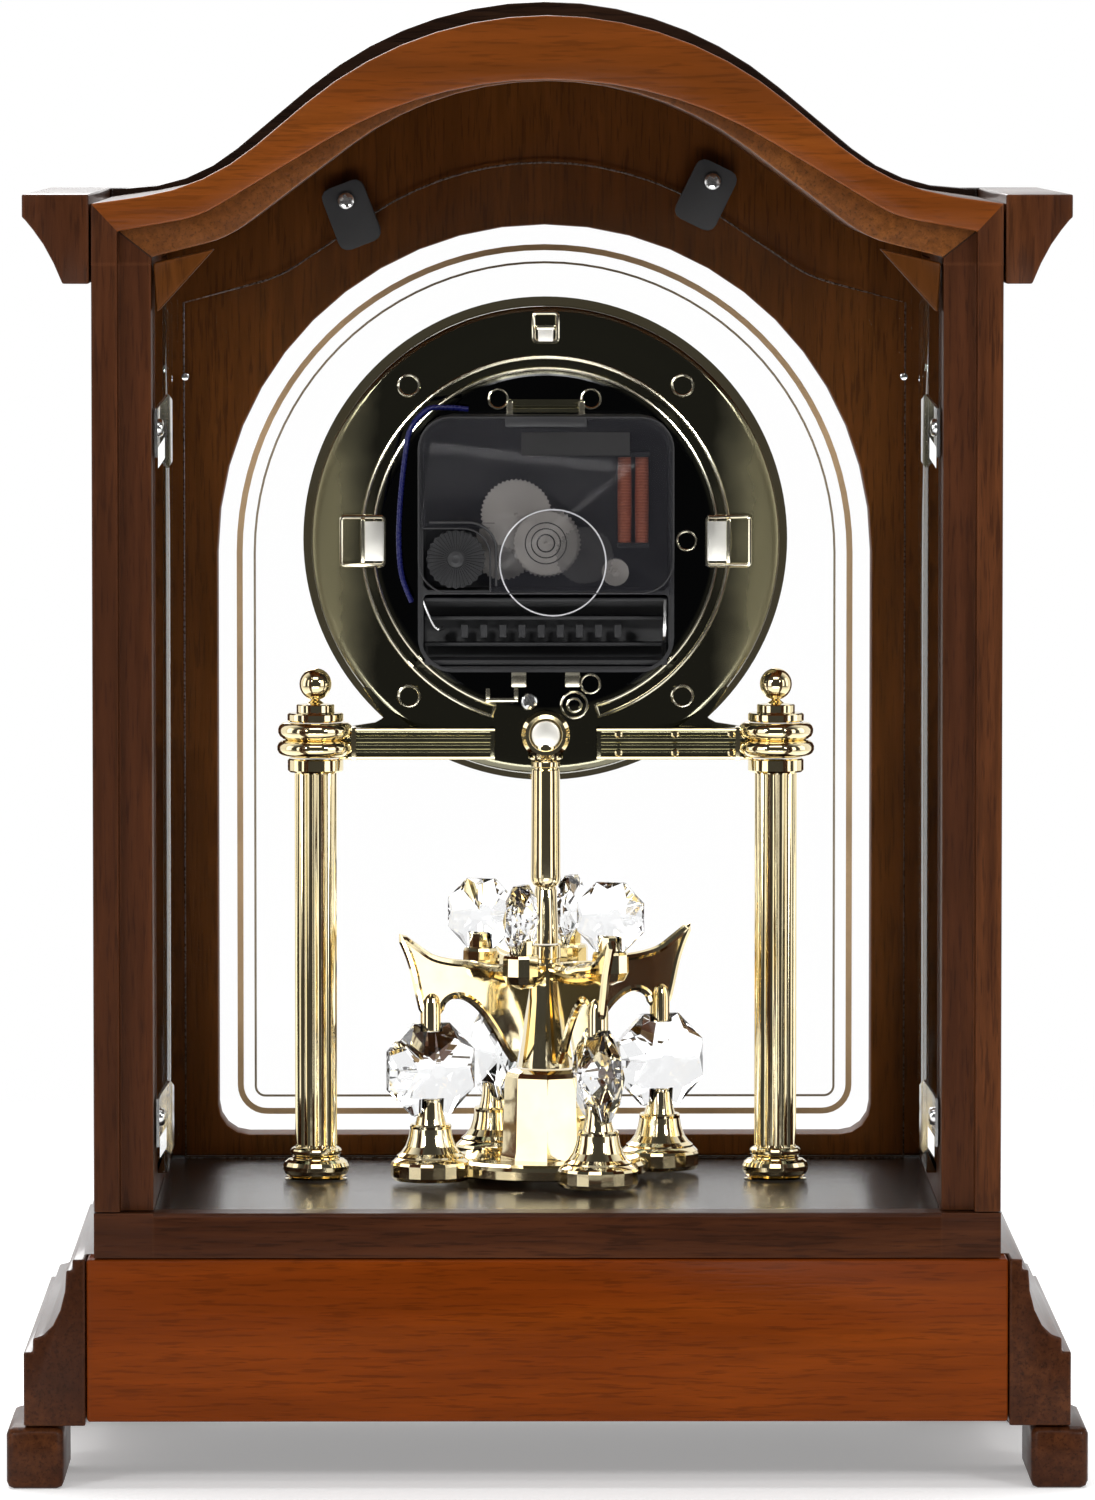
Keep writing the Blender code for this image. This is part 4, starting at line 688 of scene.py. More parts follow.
def build_frame():
    """The side panels, the roof block and the arch rail, which meet at the rear in a mitred frame."""
    panel_ends = (low("side_panel_left").z, high("side_panel_left").z)
    for side in ("left", "right"):
        softened(f"side_panel_{side}", RED_WOOD_UP, 0.6, flush=panel_ends)
    outer, lip, inner = FRAME_MITRE
    # The arch rail's wood is the apron's orange wood painted lighter: painted light for the brighter light at
    # the top.
    rail = softened("rear_arch_rail", LIT_ARCH_WOOD, 0.5, flush=(low("rear_arch_rail").z,))
    mitred(rail, outer, lip, RED_WOOD_UP)
    # The soffit and inner step take the brightened soffit wood, which is painted light; the upward faces get
    # the red wood.
    roof = softened("roof_block", LIT_ROOF_WOOD, 0.4, flush=(low("roof_block").z,))
    mitred(roof, lip, inner, RED_WOOD_UP)
    refaced(roof, RED_WOOD_ALONG, Vector((0.0, 0.0, 1.0)), 0.3)
    joint = high("side_panel_left").z
    gap = low("roof_block").z - joint
    rear, lip_rear = high("roof_block").y, high("rear_arch_rail").y
    for side, sign in (("left", 1.0), ("right", -1.0)):
        fillers = []
        for edge, start, end in ((inner, 0.0, rear), (lip, rear, lip_rear)):
            leg = (sign * edge[0], sign * outer[0])
            fillers.append(block((min(leg), start, joint), (max(leg), end, joint + gap), 0.0))
        piece(f"frame_joint_{side}", joined(*fillers), RED_WOOD_UP)
        across = (sign * lip[0], sign * inner[0])
        line = [(across[0], rear + 0.02, lip[1]), (across[1], rear + 0.02, inner[1])]
        piece(f"mitre_line_{side}", tube(line, 0.18, 6), DARK_WOOD_AND_SHADE)


def build_floor_board():
    """The floor: a dark board inside a rounded lipping in the red wood of the frame."""
    bottom, top = low("floor_board"), high("floor_board")
    inner_x = FRAME_MITRE[2][0]
    inner_front = high("front_board").y
    inner_rear = top.y - LIPPING_DEPTH
    board = block((-inner_x, inner_front, bottom.z), (inner_x, inner_rear, top.z), 0.0)
    finished("floor_board", board, FLOOR_WOOD)
    square = [(inner_rear, bottom.z), (top.y, bottom.z), (top.y, top.z), (inner_rear, top.z)]
    round_corner = arc((top.y - LIPPING_ROUND, top.z - LIPPING_ROUND), LIPPING_ROUND, 0.0, 90.0, 6)
    rounded = square[:2] + round_corner + square[3:]
    shapes = [
        prism(rounded, -inner_x, inner_x, "x"),
        prism(square, bottom.x, -inner_x, "x"),
        prism(square, inner_x, top.x, "x"),
        block((bottom.x, bottom.y, bottom.z), (top.x, inner_front, top.z), 0.0),
    ]
    piece("floor_lipping_across", joined(*shapes), RED_WOOD_ACROSS)
    sides = [
        block((bottom.x, inner_front, bottom.z), (-inner_x, inner_rear, top.z), 0.0),
        block((inner_x, inner_front, bottom.z), (top.x, inner_rear, top.z), 0.0),
    ]
    piece("floor_lipping_along", joined(*sides), RED_WOOD_ALONG)


# ---------------------------------------------------------------- glass and its holders
def window_outline(half_width, bottom_z, corner, spring_z):
    """An upright outline with a round top and rounded lower corners."""
    points = arc((0.0, spring_z), half_width, 0.0, 180.0, 48)
    points += arc((corner - half_width, bottom_z + corner), corner, 180.0, 270.0, 8)
    points += arc((half_width - corner, bottom_z + corner), corner, 270.0, 360.0, 8)
    return points


OPENING_SPRING_Z = 195.7
# Each printed line's name, half width, foot height, corner radius, line width and ink.
BORDER_LINES = (
    ("border_line_wide", 68.9, 69.5, 6.6, 1.35, TAN_INK),
    ("border_line_thin", 65.1, 73.4, 2.4, 0.5, GREY_INK),
)
BOARD_PIN_X = 80.3
BOARD_PIN_Z = 235.0
# Each turn button's side, its screw as (x, z), and the turn of the screw's cross recess in degrees.
BUTTON_SCREWS = (("left", (44.3, 274.3), 15.0), ("right", (-37.4, 278.6), 40.0))


def spring_clip(node, sign):
    """A bent leaf spring, screwed to the side panel, whose nose holds the pane."""
    wall = sign * max(abs(high(node).x), abs(low(node).x))
    front, rear = low(node).y, high(node).y
    spot = middle(node)
    path = [(0.5, rear - 0.2), (0.5, rear - 7.0), (0.9, rear - 9.0), (2.5, rear - 12.5), (3.2, rear - 15.5)]
    path += [(3.1, rear - 17.3), (2.9, front + 0.8), (2.9, front + 0.3)]
    heights = (5.2, 5.2, 5.8, 7.9, 6.6, 5.4, 4.2, 3.6)
    rows = []
    for (out, deep), half in zip(path, heights):
        right, left = wall - sign * out + 0.3, wall - sign * out - 0.3
        bottom, top = spot.z - half, spot.z + half
        rows.append([(right, deep, bottom), (right, deep, top), (left, deep, top), (left, deep, bottom)])
    finished(node, skin(rows), STEEL, angle=20.0)
    tab_rows = []
    for out, deep, drop in ((0.9, rear - 1.0, 7.6), (2.3, rear - 1.6, 5.4), (2.6, rear - 2.4, 2.0)):
        side, under = wall - sign * out, deep - 0.5
        bottom, top = spot.z - drop, spot.z - drop + 4.5
        tab_rows.append([(side, deep, bottom), (side, deep, top), (side, under, top), (side, under, bottom)])
    piece(f"{node}_tab", skin(tab_rows), STEEL, angle=20.0)
    face = wall - sign * 0.8
    pan_screw(f"{node}_screw", (face, rear - 4.2, spot.z + 1.0), 2.0, (-sign, 0.0, 0.0))


def build_glazing():
    """Panes, printed border lines, clips with screws, turn buttons and pins."""
    softened("front_glass", GLASS, 0.25)
    for side in ("left", "right"):
        softened(f"side_glass_{side}", GLASS, 0.2)
    inner_face = high("front_glass").y
    rim = {(vert.co.x / MM, vert.co.z / MM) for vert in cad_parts["front_glass"].data.vertices}
    rim = sorted(rim, key=lambda point: atan2(point[1] - DIAL_Z, point[0]))
    rim = [(across * 0.9975, inner_face - 0.25, up - 0.2) for across, up in rim]
    # A dark brown tube on the pane's rim: painted reflection of the wood seen in the glass edge.
    piece("front_pane_edge", tube(rim, 0.2, 8, closed=True), PANE_EDGE_REFLECTION)
    for name, half, bottom, corner, width, ink in BORDER_LINES:
        outer = window_outline(half, bottom, corner, OPENING_SPRING_Z)
        inner = window_outline(half - width, bottom + width, max(corner - width, 0.5), OPENING_SPRING_Z)
        piece(name, band(outer, inner, inner_face + 0.02, inner_face + 0.08), ink)
    for side, sign in (("left", 1.0), ("right", -1.0)):
        for level in ("upper", "lower"):
            spring_clip(f"glass_clip_{level}_{side}", sign)
        pin = turned([(0.0, 0.0), (0.9, 0.0), (0.8, 0.4), (0.0, 0.7)], steps=20)
        pin = moved(pin, Matrix.Rotation(-pi / 2.0, 4, "X"))
        piece(f"board_pin_{side}", shifted(pin, sign * BOARD_PIN_X, inner_face, BOARD_PIN_Z), STEEL)
    for side, spot, turn_deg in BUTTON_SCREWS:
        node = f"turn_button_{side}"
        softened(node, MATTE_BLACK, 0.45, f"{node}_body", 3)
        place = (spot[0], high(node).y, spot[1])
        pan_screw(f"button_screw_{side}", place, 2.1, turn_deg=turn_deg, body=f"{node}_body")


# ---------------------------------------------------------------- gilt frame
FLUTES = 16
FLUTE_STEPS = 8
BEAD_STEPS = 7


def fluted_shaft(radius, depth, bottom_z, top_z, centre):
    """A round shaft with hollow flutes between narrow fillets."""
    rows = []
    count = FLUTES * FLUTE_STEPS
    ends = ((bottom_z, 0.0), (bottom_z + 0.5, 1.0), (top_z - 0.5, 1.0), (top_z, 0.0))
    for height, share in ends:
        row = []
        for step in range(count):
            angle = 2.0 * pi * step / count
            dip = max(0.0, sin(pi * (step % FLUTE_STEPS) / FLUTE_STEPS)) ** 0.8
            reach = radius - depth * dip * share
            row.append((reach * cos(angle), reach * sin(angle), height))
        rows.append(row)
    return shifted(skin(rows), *centre)


def torus_profile(radius, centre_z, half_height, swell):
    """Points down a half-round bead."""
    angles = [pi / 2.0 - pi * step / BEAD_STEPS for step in range(BEAD_STEPS + 1)]
    return [(radius - swell + swell * cos(turn), centre_z + half_height * sin(turn)) for turn in angles]


def build_columns():
    """Fluted columns with turned bases, collars, plinths and ball finials."""
    for side, sign in (("left", 1.0), ("right", -1.0)):
        centre = (sign * COLUMN_X, AXIS_Y, 0.0)
        base = [(0.0, 66.8), (4.4, 66.8)] + torus_profile(5.65, 65.6, 0.95, 1.0)
        base += [(5.2, 64.4)] + torus_profile(7.35, 62.0, 2.1, 2.1) + [(6.9, 59.72), (0.0, 59.7)]
        collar = [(0.0, 152.4), (5.8, 152.4), (6.15, 152.1), (6.15, 149.8), (5.8, 149.4), (4.7, 149.3)]
        collar.append((0.0, 149.3))
        ball = [(3.55 * sin(radians(a)), 168.7 + 3.55 * cos(radians(a))) for a in range(0, 166, 11)]
        finial = ball + [(1.3, 165.0), (1.9, 164.5), (4.0, 164.3), (4.2, 164.1), (4.2, 162.6), (4.3, 162.45)]
        finial += [(5.9, 162.4), (6.2, 162.1), (6.2, 160.8), (5.9, 160.5), (0.0, 160.5)]
        shape = joined(
            turned(base, centre),
            turned(collar, centre),
            turned(finial, centre),
            fluted_shaft(4.6, 0.55, 66.6, 149.5, centre),
        )
        finished(f"column_{side}", shape, GOLD, angle=24.0)


BEAM_LOW_Z = 152.2
BEAM_HIGH_Z = 159.1
BEAM_INNER_X = 11.2
BEAM_OUTER_X = 45.5
BEAM_CUFF_X = 41.6
HUB_Z = 157.7


def beam_section():
    """The beam's section as (y, z): lips at the rear with three ribs between them."""
    front, rear = -0.5, 5.5
    back = rear - 1.0
    points = [(front, BEAM_LOW_Z), (rear - 0.2, BEAM_LOW_Z), (rear, BEAM_LOW_Z + 0.2)]
    points += [(rear, BEAM_LOW_Z + 0.75), (back, BEAM_LOW_Z + 0.95)]
    for rib in range(3):
        centre = BEAM_LOW_Z + 1.95 + 1.5 * rib
        crest = back + 0.55
        points += [(back, centre - 0.4), (crest, centre - 0.22), (crest, centre + 0.22), (back, centre + 0.4)]
    points += [(back, BEAM_HIGH_Z - 0.95), (rear, BEAM_HIGH_Z - 0.75), (rear, BEAM_HIGH_Z - 0.2)]
    points += [(rear - 0.2, BEAM_HIGH_Z), (front, BEAM_HIGH_Z)]
    return points


def build_beam():
    """The two ribbed halves of the beam, their swelling ends, and the hub between them."""
    shapes = []
    bars = []
    for sign in (1.0, -1.0):
        start, end = sign * BEAM_INNER_X, sign * BEAM_OUTER_X
        bars.append(prism(beam_section(), start, end, "x"))
        near, far = sorted((start, start + sign))
        bars.append(block((near, -0.5, BEAM_LOW_Z), (far, 5.6, BEAM_HIGH_Z), 0.2))
        for height in (BEAM_LOW_Z + 0.35, BEAM_HIGH_Z - 0.35):
            bead = [(start, 5.45, height), (end, 5.45, height)]
            shapes.append(tube(bead, 0.3, 8))
        swell = [(2.3, 160.3), (6.0, 160.3)] + torus_profile(8.3, 158.5, 1.9, 1.7)
        swell += torus_profile(8.5, 154.7, 1.8, 1.7) + [(6.2, 152.75), (2.3, 152.75)]
        shapes.append(turned(swell, (sign * COLUMN_X, AXIS_Y, 0.0), ring=True))
        near, far = sorted((sign * BEAM_CUFF_X, sign * (BEAM_CUFF_X + 1.2)))
        shapes.append(block((near, -0.6, BEAM_LOW_Z - 0.2), (far, 5.75, BEAM_HIGH_Z + 0.2), 0.3))
    for column in range(3):
        for height in (BEAM_HIGH_Z - 1.3, BEAM_LOW_Z + 1.5):
            stud = [(0.0, 5.9), (0.5, 5.9), (0.85, 5.6), (0.85, 4.2), (0.0, 4.2)]
            shapes.append(turned(stud, (-16.0 - 12.4 * column, 0.0, height), "y", 20))
    hub = [(3.3, 6.3), (3.7, 7.4), (4.5, 7.5), (5.3, 6.6), (5.3, -0.4), (3.3, -0.4)]
    shapes.append(turned(hub, (0.0, 0.0, HUB_Z), "y", 48, ring=True))
    socket = [(0.0, 155.6), (3.7, 155.6), (3.9, 155.0), (3.9, 152.5), (3.6, 152.2), (0.0, 152.2)]
    shapes.append(turned(socket, PENDULUM_AXIS))
    finished("cross_beam", joined(*shapes), GOLD, angle=28.0)
    piece("cross_beam_bars", joined(*bars), SMOKED, angle=28.0)
    disc = [(0.0, 6.7), (2.6, 6.7), (3.1, 6.5), (3.25, 6.0), (3.25, 0.0), (0.0, 0.0)]
    piece("hub_disc", turned(disc, (0.0, 0.0, HUB_Z), "y"), SATIN)


# ---------------------------------------------------------------- dial housing, seen from behind
RIM_RINGS = (40.4, 37.9)
RING_GAP_DEG = 17.0
# The moulded rings of the housing as (x, z, radius) from the dial's axis.
BOSSES = [(across, up, 2.3) for up in (34.2, -34.2) for across in (30.1, -30.1)]
BOSSES += [(10.4, 31.2, 2.1), (-10.0, 31.2, 2.1), (-31.0, 0.0, 2.1), (-9.9, -31.5, 2.1)]
BOSSES += [(-6.3, -36.2, 2.9), (-6.3, -36.2, 1.5)]


def build_housing():
    """The housing shell, its double ring, bosses, flares, bezel clips and movement brackets."""
    rear = HOUSING_REAR_Y
    front = low("dial_housing").y
    shell = [(51.5, front), (51.5, rear - 1.2), (51.2, rear - 0.5), (50.5, rear - 0.15), (49.4, rear)]
    shell += [(46.0, rear - 0.12), (41.6, rear - 0.5), (37.0, rear - 0.5), (36.4, rear - 0.7)]
    shell += [(35.9, rear - 0.7), (3.0, rear - 0.7), (3.0, rear - 1.5), (50.2, rear - 1.5), (50.2, front)]
    shapes = [turned(shell, DIAL_CENTRE, "y", 128, ring=True)]
    for sign in (1.0, -1.0):
        flare = [(40.2, 167.7), (35.7, 161.0), (37.5, 160.0), (44.0, 159.0), (28.0, 159.0), (28.0, 168.0)]
        flare = [(sign * across, up) for across, up in flare]
        shapes.append(prism(flare, rear - 2.2, rear - 0.15, "y", 0.15, 1))
    finished("dial_housing", joined(*shapes), HOUSING, angle=30.0)
    start, end = RING_GAP_DEG - 90.0, 270.0 - RING_GAP_DEG
    loop = arc((0.0, DIAL_Z), RIM_RINGS[0], start, end, 96) + arc((0.0, DIAL_Z), RIM_RINGS[1], end, start, 96)
    path = [(across, rear - 0.05, up) for across, up in loop]
    piece("housing_rings", tube(path, 0.5, 10, closed=True), PALE_GOLD)
    shapes = []
    for across, up, radius in BOSSES:
        depth = rear - 0.1 if hypot(across, up) > 41.0 else rear - 0.45
        circle = [(across + x, depth, DIAL_Z + up + z) for x, z in arc((0.0, 0.0), radius, 0.0, 345.0, 23)]
        shapes.append(tube(circle, 0.32, 8, closed=True))
    piece("housing_bosses", joined(*shapes), PALE_GOLD)
    build_bezel_clips(rear)
    build_brackets(rear)


# The paired brackets as near and far x, depth, low and high z, and rounding.
BRACKETS = ((7.2, 8.6, 3.2, 227.0, 230.8, 0.3), (4.2, 7.6, 2.6, 167.9, 171.3, 0.35))


def build_bezel_clips(rear):
    """Three bent tabs that hold the bezel to the housing."""
    shapes = []
    tongues = []
    for turn_deg, reach in ((90.0, 40.2), (-90.0, 40.2), (0.0, 47.0)):
        small = turn_deg == 0.0
        half_width = 2.6 if small else 5.3
        half_height = 3.1 if small else 4.7
        outer = rounded_box((-half_width, -half_height), (half_width, half_height), 0.7, 3)
        frame_ring = tube([(across, rear + 0.3, up) for across, up in outer], 0.5, 10, closed=True)
        inset = half_width - 0.9
        tongue = block((-inset, rear - 0.5, -half_height), (inset, rear + 1.2, half_height * 0.05), 0.3)
        ridge = block((0.5 - half_width, rear, -0.5), (half_width - 0.5, rear + 1.6, 0.5), 0.35)
        place = Matrix.Translation(DIAL_CENTRE) @ Matrix.Rotation(radians(turn_deg), 4, "Y")
        place = place @ Matrix.Translation((0.0, 0.0, reach))
        shapes.append(moved(frame_ring, place))
        shapes.append(moved(ridge, place))
        tongues.append(moved(tongue, place))
    piece("bezel_clip_frames", joined(*shapes), PALE_GOLD, angle=25.0)
    piece("bezel_clip_tongues", joined(*tongues), SATIN, angle=25.0)


def build_brackets(rear):
    """Small brackets and a screw that hold the movement."""
    shapes = []
    for near, far, depth, low_z, high_z, rounding in BRACKETS:
        for start, end in ((near, far), (-far, -near)):
            shapes.append(block((start, rear, low_z), (end, rear + depth, high_z), rounding))
    shapes += [
        block((6.0, rear - 0.4, 164.6), (13.2, rear + 1.4, 165.5), 0.25),
        block((6.0, rear - 0.4, 165.0), (7.0, rear + 1.4, 167.6), 0.25),
        block((12.2, rear - 0.4, 165.0), (13.2, rear + 1.4, 167.6), 0.25),
    ]
    piece("movement_brackets", joined(*shapes), PALE_GOLD, angle=25.0)
    bridge = joined(
        block((-8.0, rear, 228.3), (8.0, rear + 3.0, 229.3), 0.25),
        block((-8.0, rear - 0.3, 229.0), (8.0, rear + 0.6, 231.2), 0.25),
    )
    piece("movement_bridge", bridge, SMOKED, angle=25.0)
    clip = block((-9.0, 13.2, 225.6), (9.0, 15.7, 227.9), 0.5)
    piece("movement_top_clip", clip, BLACK)
    pan_screw("housing_screw", (3.6, rear - 0.4, 164.6), 2.0, turn_deg=35.0)


# ---------------------------------------------------------------- movement
CASE_HALF = high("movement_case").x
CASE_REAR_Y = high("movement_case").y
COVER_REAR_Y = high("movement_cover").y
TRAIN_LOW_Z = low("movement_cover").z
KNOB = middle("set_knob")
KNOB_RIBS = 40
POCKET_INNER_X = 12.2
POCKET_TOP_Z = 203.5
COVER_RING = ((-1.5, 196.0), 11.6)
WHEEL_REAR_Y = 10.2
WHEEL_RINGS = ((1.9, 0.16), (3.2, 0.13), (4.5, 0.13))
LEAD_RADIUS = 0.6
LEAD_ROUTE = [(17.0, 7.0, 229.2), (21.5, 7.5, 229.6), (26.0, 8.5, 229.2), (29.6, 9.5, 225.0)]
LEAD_ROUTE += [(30.8, 9.0, 219.0), (31.8, 8.5, 210.0), (32.2, 8.0, 201.0), (31.6, 7.6, 193.0)]
LEAD_ROUTE.append((29.4, 7.4, 187.0))


def build_movement():
    """The quartz movement: its case, smoky cover, label, coil, contacts, wheels and lead wire."""
    softened("movement_case", MATTE_BLACK, 0.35)
    softened("movement_cover", SMOKE, 0.0)
    top_z = DIAL_Z + CASE_HALF
    rim = rounded_box((-CASE_HALF, DIAL_Z - CASE_HALF), (CASE_HALF, top_z), 7.5, 8)
    inner = rounded_box((0.8 - CASE_HALF, DIAL_Z + 0.8 - CASE_HALF), (CASE_HALF - 0.8, top_z - 0.8), 6.7, 8)
    piece("case_rim", band(rim, inner, CASE_REAR_Y - 0.2, CASE_REAR_Y + 0.5), BLACK)
    edge = rounded_box((0.2 - CASE_HALF, TRAIN_LOW_Z + 0.3), (CASE_HALF - 0.2, top_z - 0.25), 7.0, 8)
    edge = [(across, COVER_REAR_Y, up) for across, up in edge]
    piece("cover_edge", tube(edge, 0.22, 8, closed=True), BLACK)
    label = block((-18.3, COVER_REAR_Y - 0.02, 219.4), (5.4, COVER_REAR_Y + 0.12, 224.5), 0.04, 1)
    piece("movement_label", label, INK_BLACK)
    ring = [(across, COVER_REAR_Y, up) for across, up in arc(*COVER_RING, 0.0, 354.0, 59)]
    piece("cover_ring", tube(ring, 0.17, 8, closed=True), MOULDED_LINE)
    wall = [(POCKET_INNER_X, TRAIN_LOW_Z + 0.6)]
    wall += arc((POCKET_INNER_X + 6.0, POCKET_TOP_Z - 6.0), 6.0, 180.0, 90.0, 10)
    wall.append((CASE_HALF - 1.2, POCKET_TOP_Z))
    steps = (("pocket_rim", 0.0, 0.22, MATTE_BLACK), ("pocket_step", 1.3, 0.3, BLACK))
    for name, offset, radius, surface in steps:
        line = [(across - offset, COVER_REAR_Y - 0.1, up + offset) for across, up in wall]
        piece(name, tube(line, radius, 8), surface)
    build_bay()
    build_coil()
    softened("set_knob", BLACK, 0.0, "set_knob_body")
    build_knob_face()
    for wheel in ("center_wheel", "third_wheel", "seconds_wheel", "minute_wheel"):
        softened(wheel, WHITE, 0.06, f"{wheel}_body", 1)
    softened("fifth_wheel", NYLON, 0.06, "fifth_wheel_body", 1)
    softened("rotor", WHITE, 0.06, "rotor_body", 1)
    shapes = []
    for radius, thickness in WHEEL_RINGS:
        ring = [(x, WHEEL_REAR_Y, z) for x, z in arc((0.0, DIAL_Z), radius, 0.0, 354.0, 59)]
        shapes.append(tube(ring, thickness, 8, closed=True))
    piece("seconds_wheel_rings", joined(*shapes), INK_BLACK, "seconds_wheel_body")
    wire = tube(curve_through(LEAD_ROUTE, 6), LEAD_RADIUS, 14)
    finished("lead_wire", wire, BLUE, angle=60.0)


def build_bay():
    """The battery bay's moulded ribs and its two contacts."""
    half = CASE_HALF - 1.4
    shapes = []
    for height, depth in ((TRAIN_LOW_Z - 1.2, 12.8), (TRAIN_LOW_Z - 5.6, 6.0), (TRAIN_LOW_Z - 11.4, 6.0)):
        shapes.append(block((-half, 0.8, height - 0.4), (half, depth, height + 0.4), 0.25))
    for number in range(9):
        across = 17.0 - 4.2 * number
        shapes.append(block((across, 4.2, TRAIN_LOW_Z - 9.9), (across + 1.6, 6.4, TRAIN_LOW_Z - 7.0), 0.25))
    shapes.append(block((-half, 0.8, 173.4), (half, 12.9, 174.6), 0.4))
    piece("battery_bay_ribs", joined(*shapes), MATTE_BLACK)
    spring = [(27.0, 13.6, 187.6), (26.0, 12.8, 185.0), (24.6, 11.6, 182.0), (23.4, 11.2, 181.2)]
    spring = curve_through([*spring, (22.6, 11.8, 181.6)])
    piece("battery_spring", tube(spring, 0.32, 10), STEEL)
    contact = [(-25.9, 3.2, 176.0), (-25.6, 9.0, 178.5), (-25.9, 12.6, 181.0), (-26.0, 13.4, 186.6)]
    corners = ((-0.3, -1.2), (0.3, -1.2), (0.3, 1.2), (-0.3, 1.2))
    plate_rows = [[(x + across, y, z + up) for across, up in corners] for x, y, z in curve_through(contact)]
    finished("battery_contact", skin(plate_rows), STEEL)


def build_coil():
    """The drive coil: two rows of copper winding between the flanges of a bobbin."""
    centre = middle("coil")
    low_z, high_z = low("coil").z, high("coil").z
    shapes = []
    for side in (-1.0, 1.0):
        profile = [(0.0, high_z - 1.2), (1.45, high_z - 1.2), (1.55, centre.z), (1.45, low_z + 1.2)]
        profile.append((0.0, low_z + 1.2))
        shapes.append(turned(profile, (centre.x + side * 1.9, centre.y + 1.8, 0.0), steps=32))
    piece("coil_winding", joined(*shapes), COPPER, stands_for=("coil",))
    bobbin = []
    for half, deep, start, end in (
        (3.6, 3.5, low_z, low_z + 1.1),
        (3.6, 3.5, high_z - 1.1, high_z),
        (3.4, -0.2, low_z, high_z),
    ):
        near = (centre.x - half, centre.y - half, start)
        bobbin.append(block(near, (centre.x + half, centre.y + deep, end), 0.3))
    piece("coil_bobbin", joined(*bobbin), BLACK)


def build_knob_face():
    """Ribs that fan out over the set knob's face, with a centre dimple ring."""
    radius = (high("set_knob").x - low("set_knob").x) / 2.0
    shapes = []
    for number in range(KNOB_RIBS):
        rib = block((1.9, CASE_REAR_Y - 0.8, -0.17), (radius - 0.3, CASE_REAR_Y + 0.25, 0.17), 0.08, 1)
        turn = Matrix.Translation((KNOB.x, 0.0, KNOB.z))
        turn = turn @ Matrix.Rotation(2.0 * pi * number / KNOB_RIBS, 4, "Y")
        shapes.append(moved(rib, turn))
    boss = [(0.0, 0.1), (0.9, 0.3), (1.7, 0.1), (1.9, -1.0), (0.0, -1.0)]
    shapes.append(turned(boss, (KNOB.x, CASE_REAR_Y, KNOB.z), "y", 24))
    piece("set_knob_face", joined(*shapes), BLACK, "set_knob_body", angle=20.0)


# ---------------------------------------------------------------- dial
TRACK_RADIUS = 42.6
NUMERAL_RADIUS = 34.6
NUMERAL_SIZE = 9.4


def numeral(number, spot):
    """A dial numeral as a thin raised shape, centred on a spot on the dial's front."""
    curve = bpy.data.curves.new("numeral", "FONT")
    curve.body = str(number)
    curve.size = NUMERAL_SIZE
    curve.extrude = 0.06
    curve.resolution_u = 6
    source = linked("numeral", curve)
    shape = opened(settled(source))
    bpy.data.objects.remove(source, do_unlink=True)
    bmesh.ops.remove_doubles(shape, verts=shape.verts, dist=0.0005)
    places = [vert.co for vert in shape.verts]
    middle_x = (min(place.x for place in places) + max(place.x for place in places)) / 2.0
    middle_y = (min(place.y for place in places) + max(place.y for place in places)) / 2.0
    shifted(shape, -middle_x, -middle_y)
    return moved(shape, Matrix.Translation(spot) @ Matrix.Rotation(pi / 2.0, 4, "X"))


def dial_ring(radius, width, face_y, height):
    """A thin flat ring on the dial's face."""
    outer, inner = (arc((0.0, DIAL_Z), reach, 0.0, 357.5, 143) for reach in (radius, radius - width))
    return band(outer, inner, face_y - height, face_y + 0.02)


def build_dial():
    """The dial with its printed track and numerals, the hands, the lens and the moulded bezel."""
    softened("dial_plate", DIAL_PAINT, 0.15)
    face_y = low("dial_plate").y
    marks = []
    for minute in range(60):
        hour_mark = minute % 5 == 0
        half, reach = (0.45, 2.4) if hour_mark else (0.16, 1.5)
        inner = TRACK_RADIUS - reach
        mark = block((-half, face_y - 0.06, inner), (half, face_y + 0.02, TRACK_RADIUS), 0.0)
        turn = Matrix.Translation(DIAL_CENTRE) @ Matrix.Rotation(2.0 * pi * minute / 60.0, 4, "Y")
        marks.append(moved(mark, turn))
    marks += [dial_ring(radius, 0.22, face_y, 0.06) for radius in (43.0, 39.4)]
    for hour in range(1, 13):
        angle = radians(90.0 - 30.0 * hour)
        spot = (NUMERAL_RADIUS * cos(angle), face_y - 0.03, DIAL_Z + NUMERAL_RADIUS * sin(angle))
        marks.append(numeral(hour, spot))
    piece("dial_print", joined(*marks), INK_BLACK, angle=20.0)
    rings = [dial_ring(27.6, 0.9, face_y, 0.12), dial_ring(25.9, 0.3, face_y, 0.12)]
    piece("dial_rings", joined(*rings), GOLD)
    for hand in ("hour_hand", "minute_hand"):
        softened(hand, INK_BLACK, 0.1, f"{hand}_body", 1)
    cap = [(0.0, -7.5), (1.3, -7.4), (1.9, -6.95), (1.9, -6.6), (0.0, -6.6)]
    piece("hand_cap", turned(cap, DIAL_CENTRE, "y", 32), GOLD, "minute_hand_body")
    softened("dial_lens", GLASS, 0.3)
    front_y, rear_y = low("dial_bezel").y, high("dial_bezel").y
    outer = high("dial_bezel").x
    mouldings = ((44.5, 2.4), (45.3, 1.9), (46.4, 2.2), (47.2, 1.9), (48.0, 0.9), (49.3, 0.2), (50.7, 0.0))
    mouldings += ((52.0, 0.35), (53.0, 1.2), (outer, 2.2))
    section = [(44.5, rear_y)] + [(radius, front_y + step) for radius, step in mouldings] + [(outer, rear_y)]
    bezel = turned(section, DIAL_CENTRE, "y", 144, ring=True)
    finished("dial_bezel", bezel, GOLD)


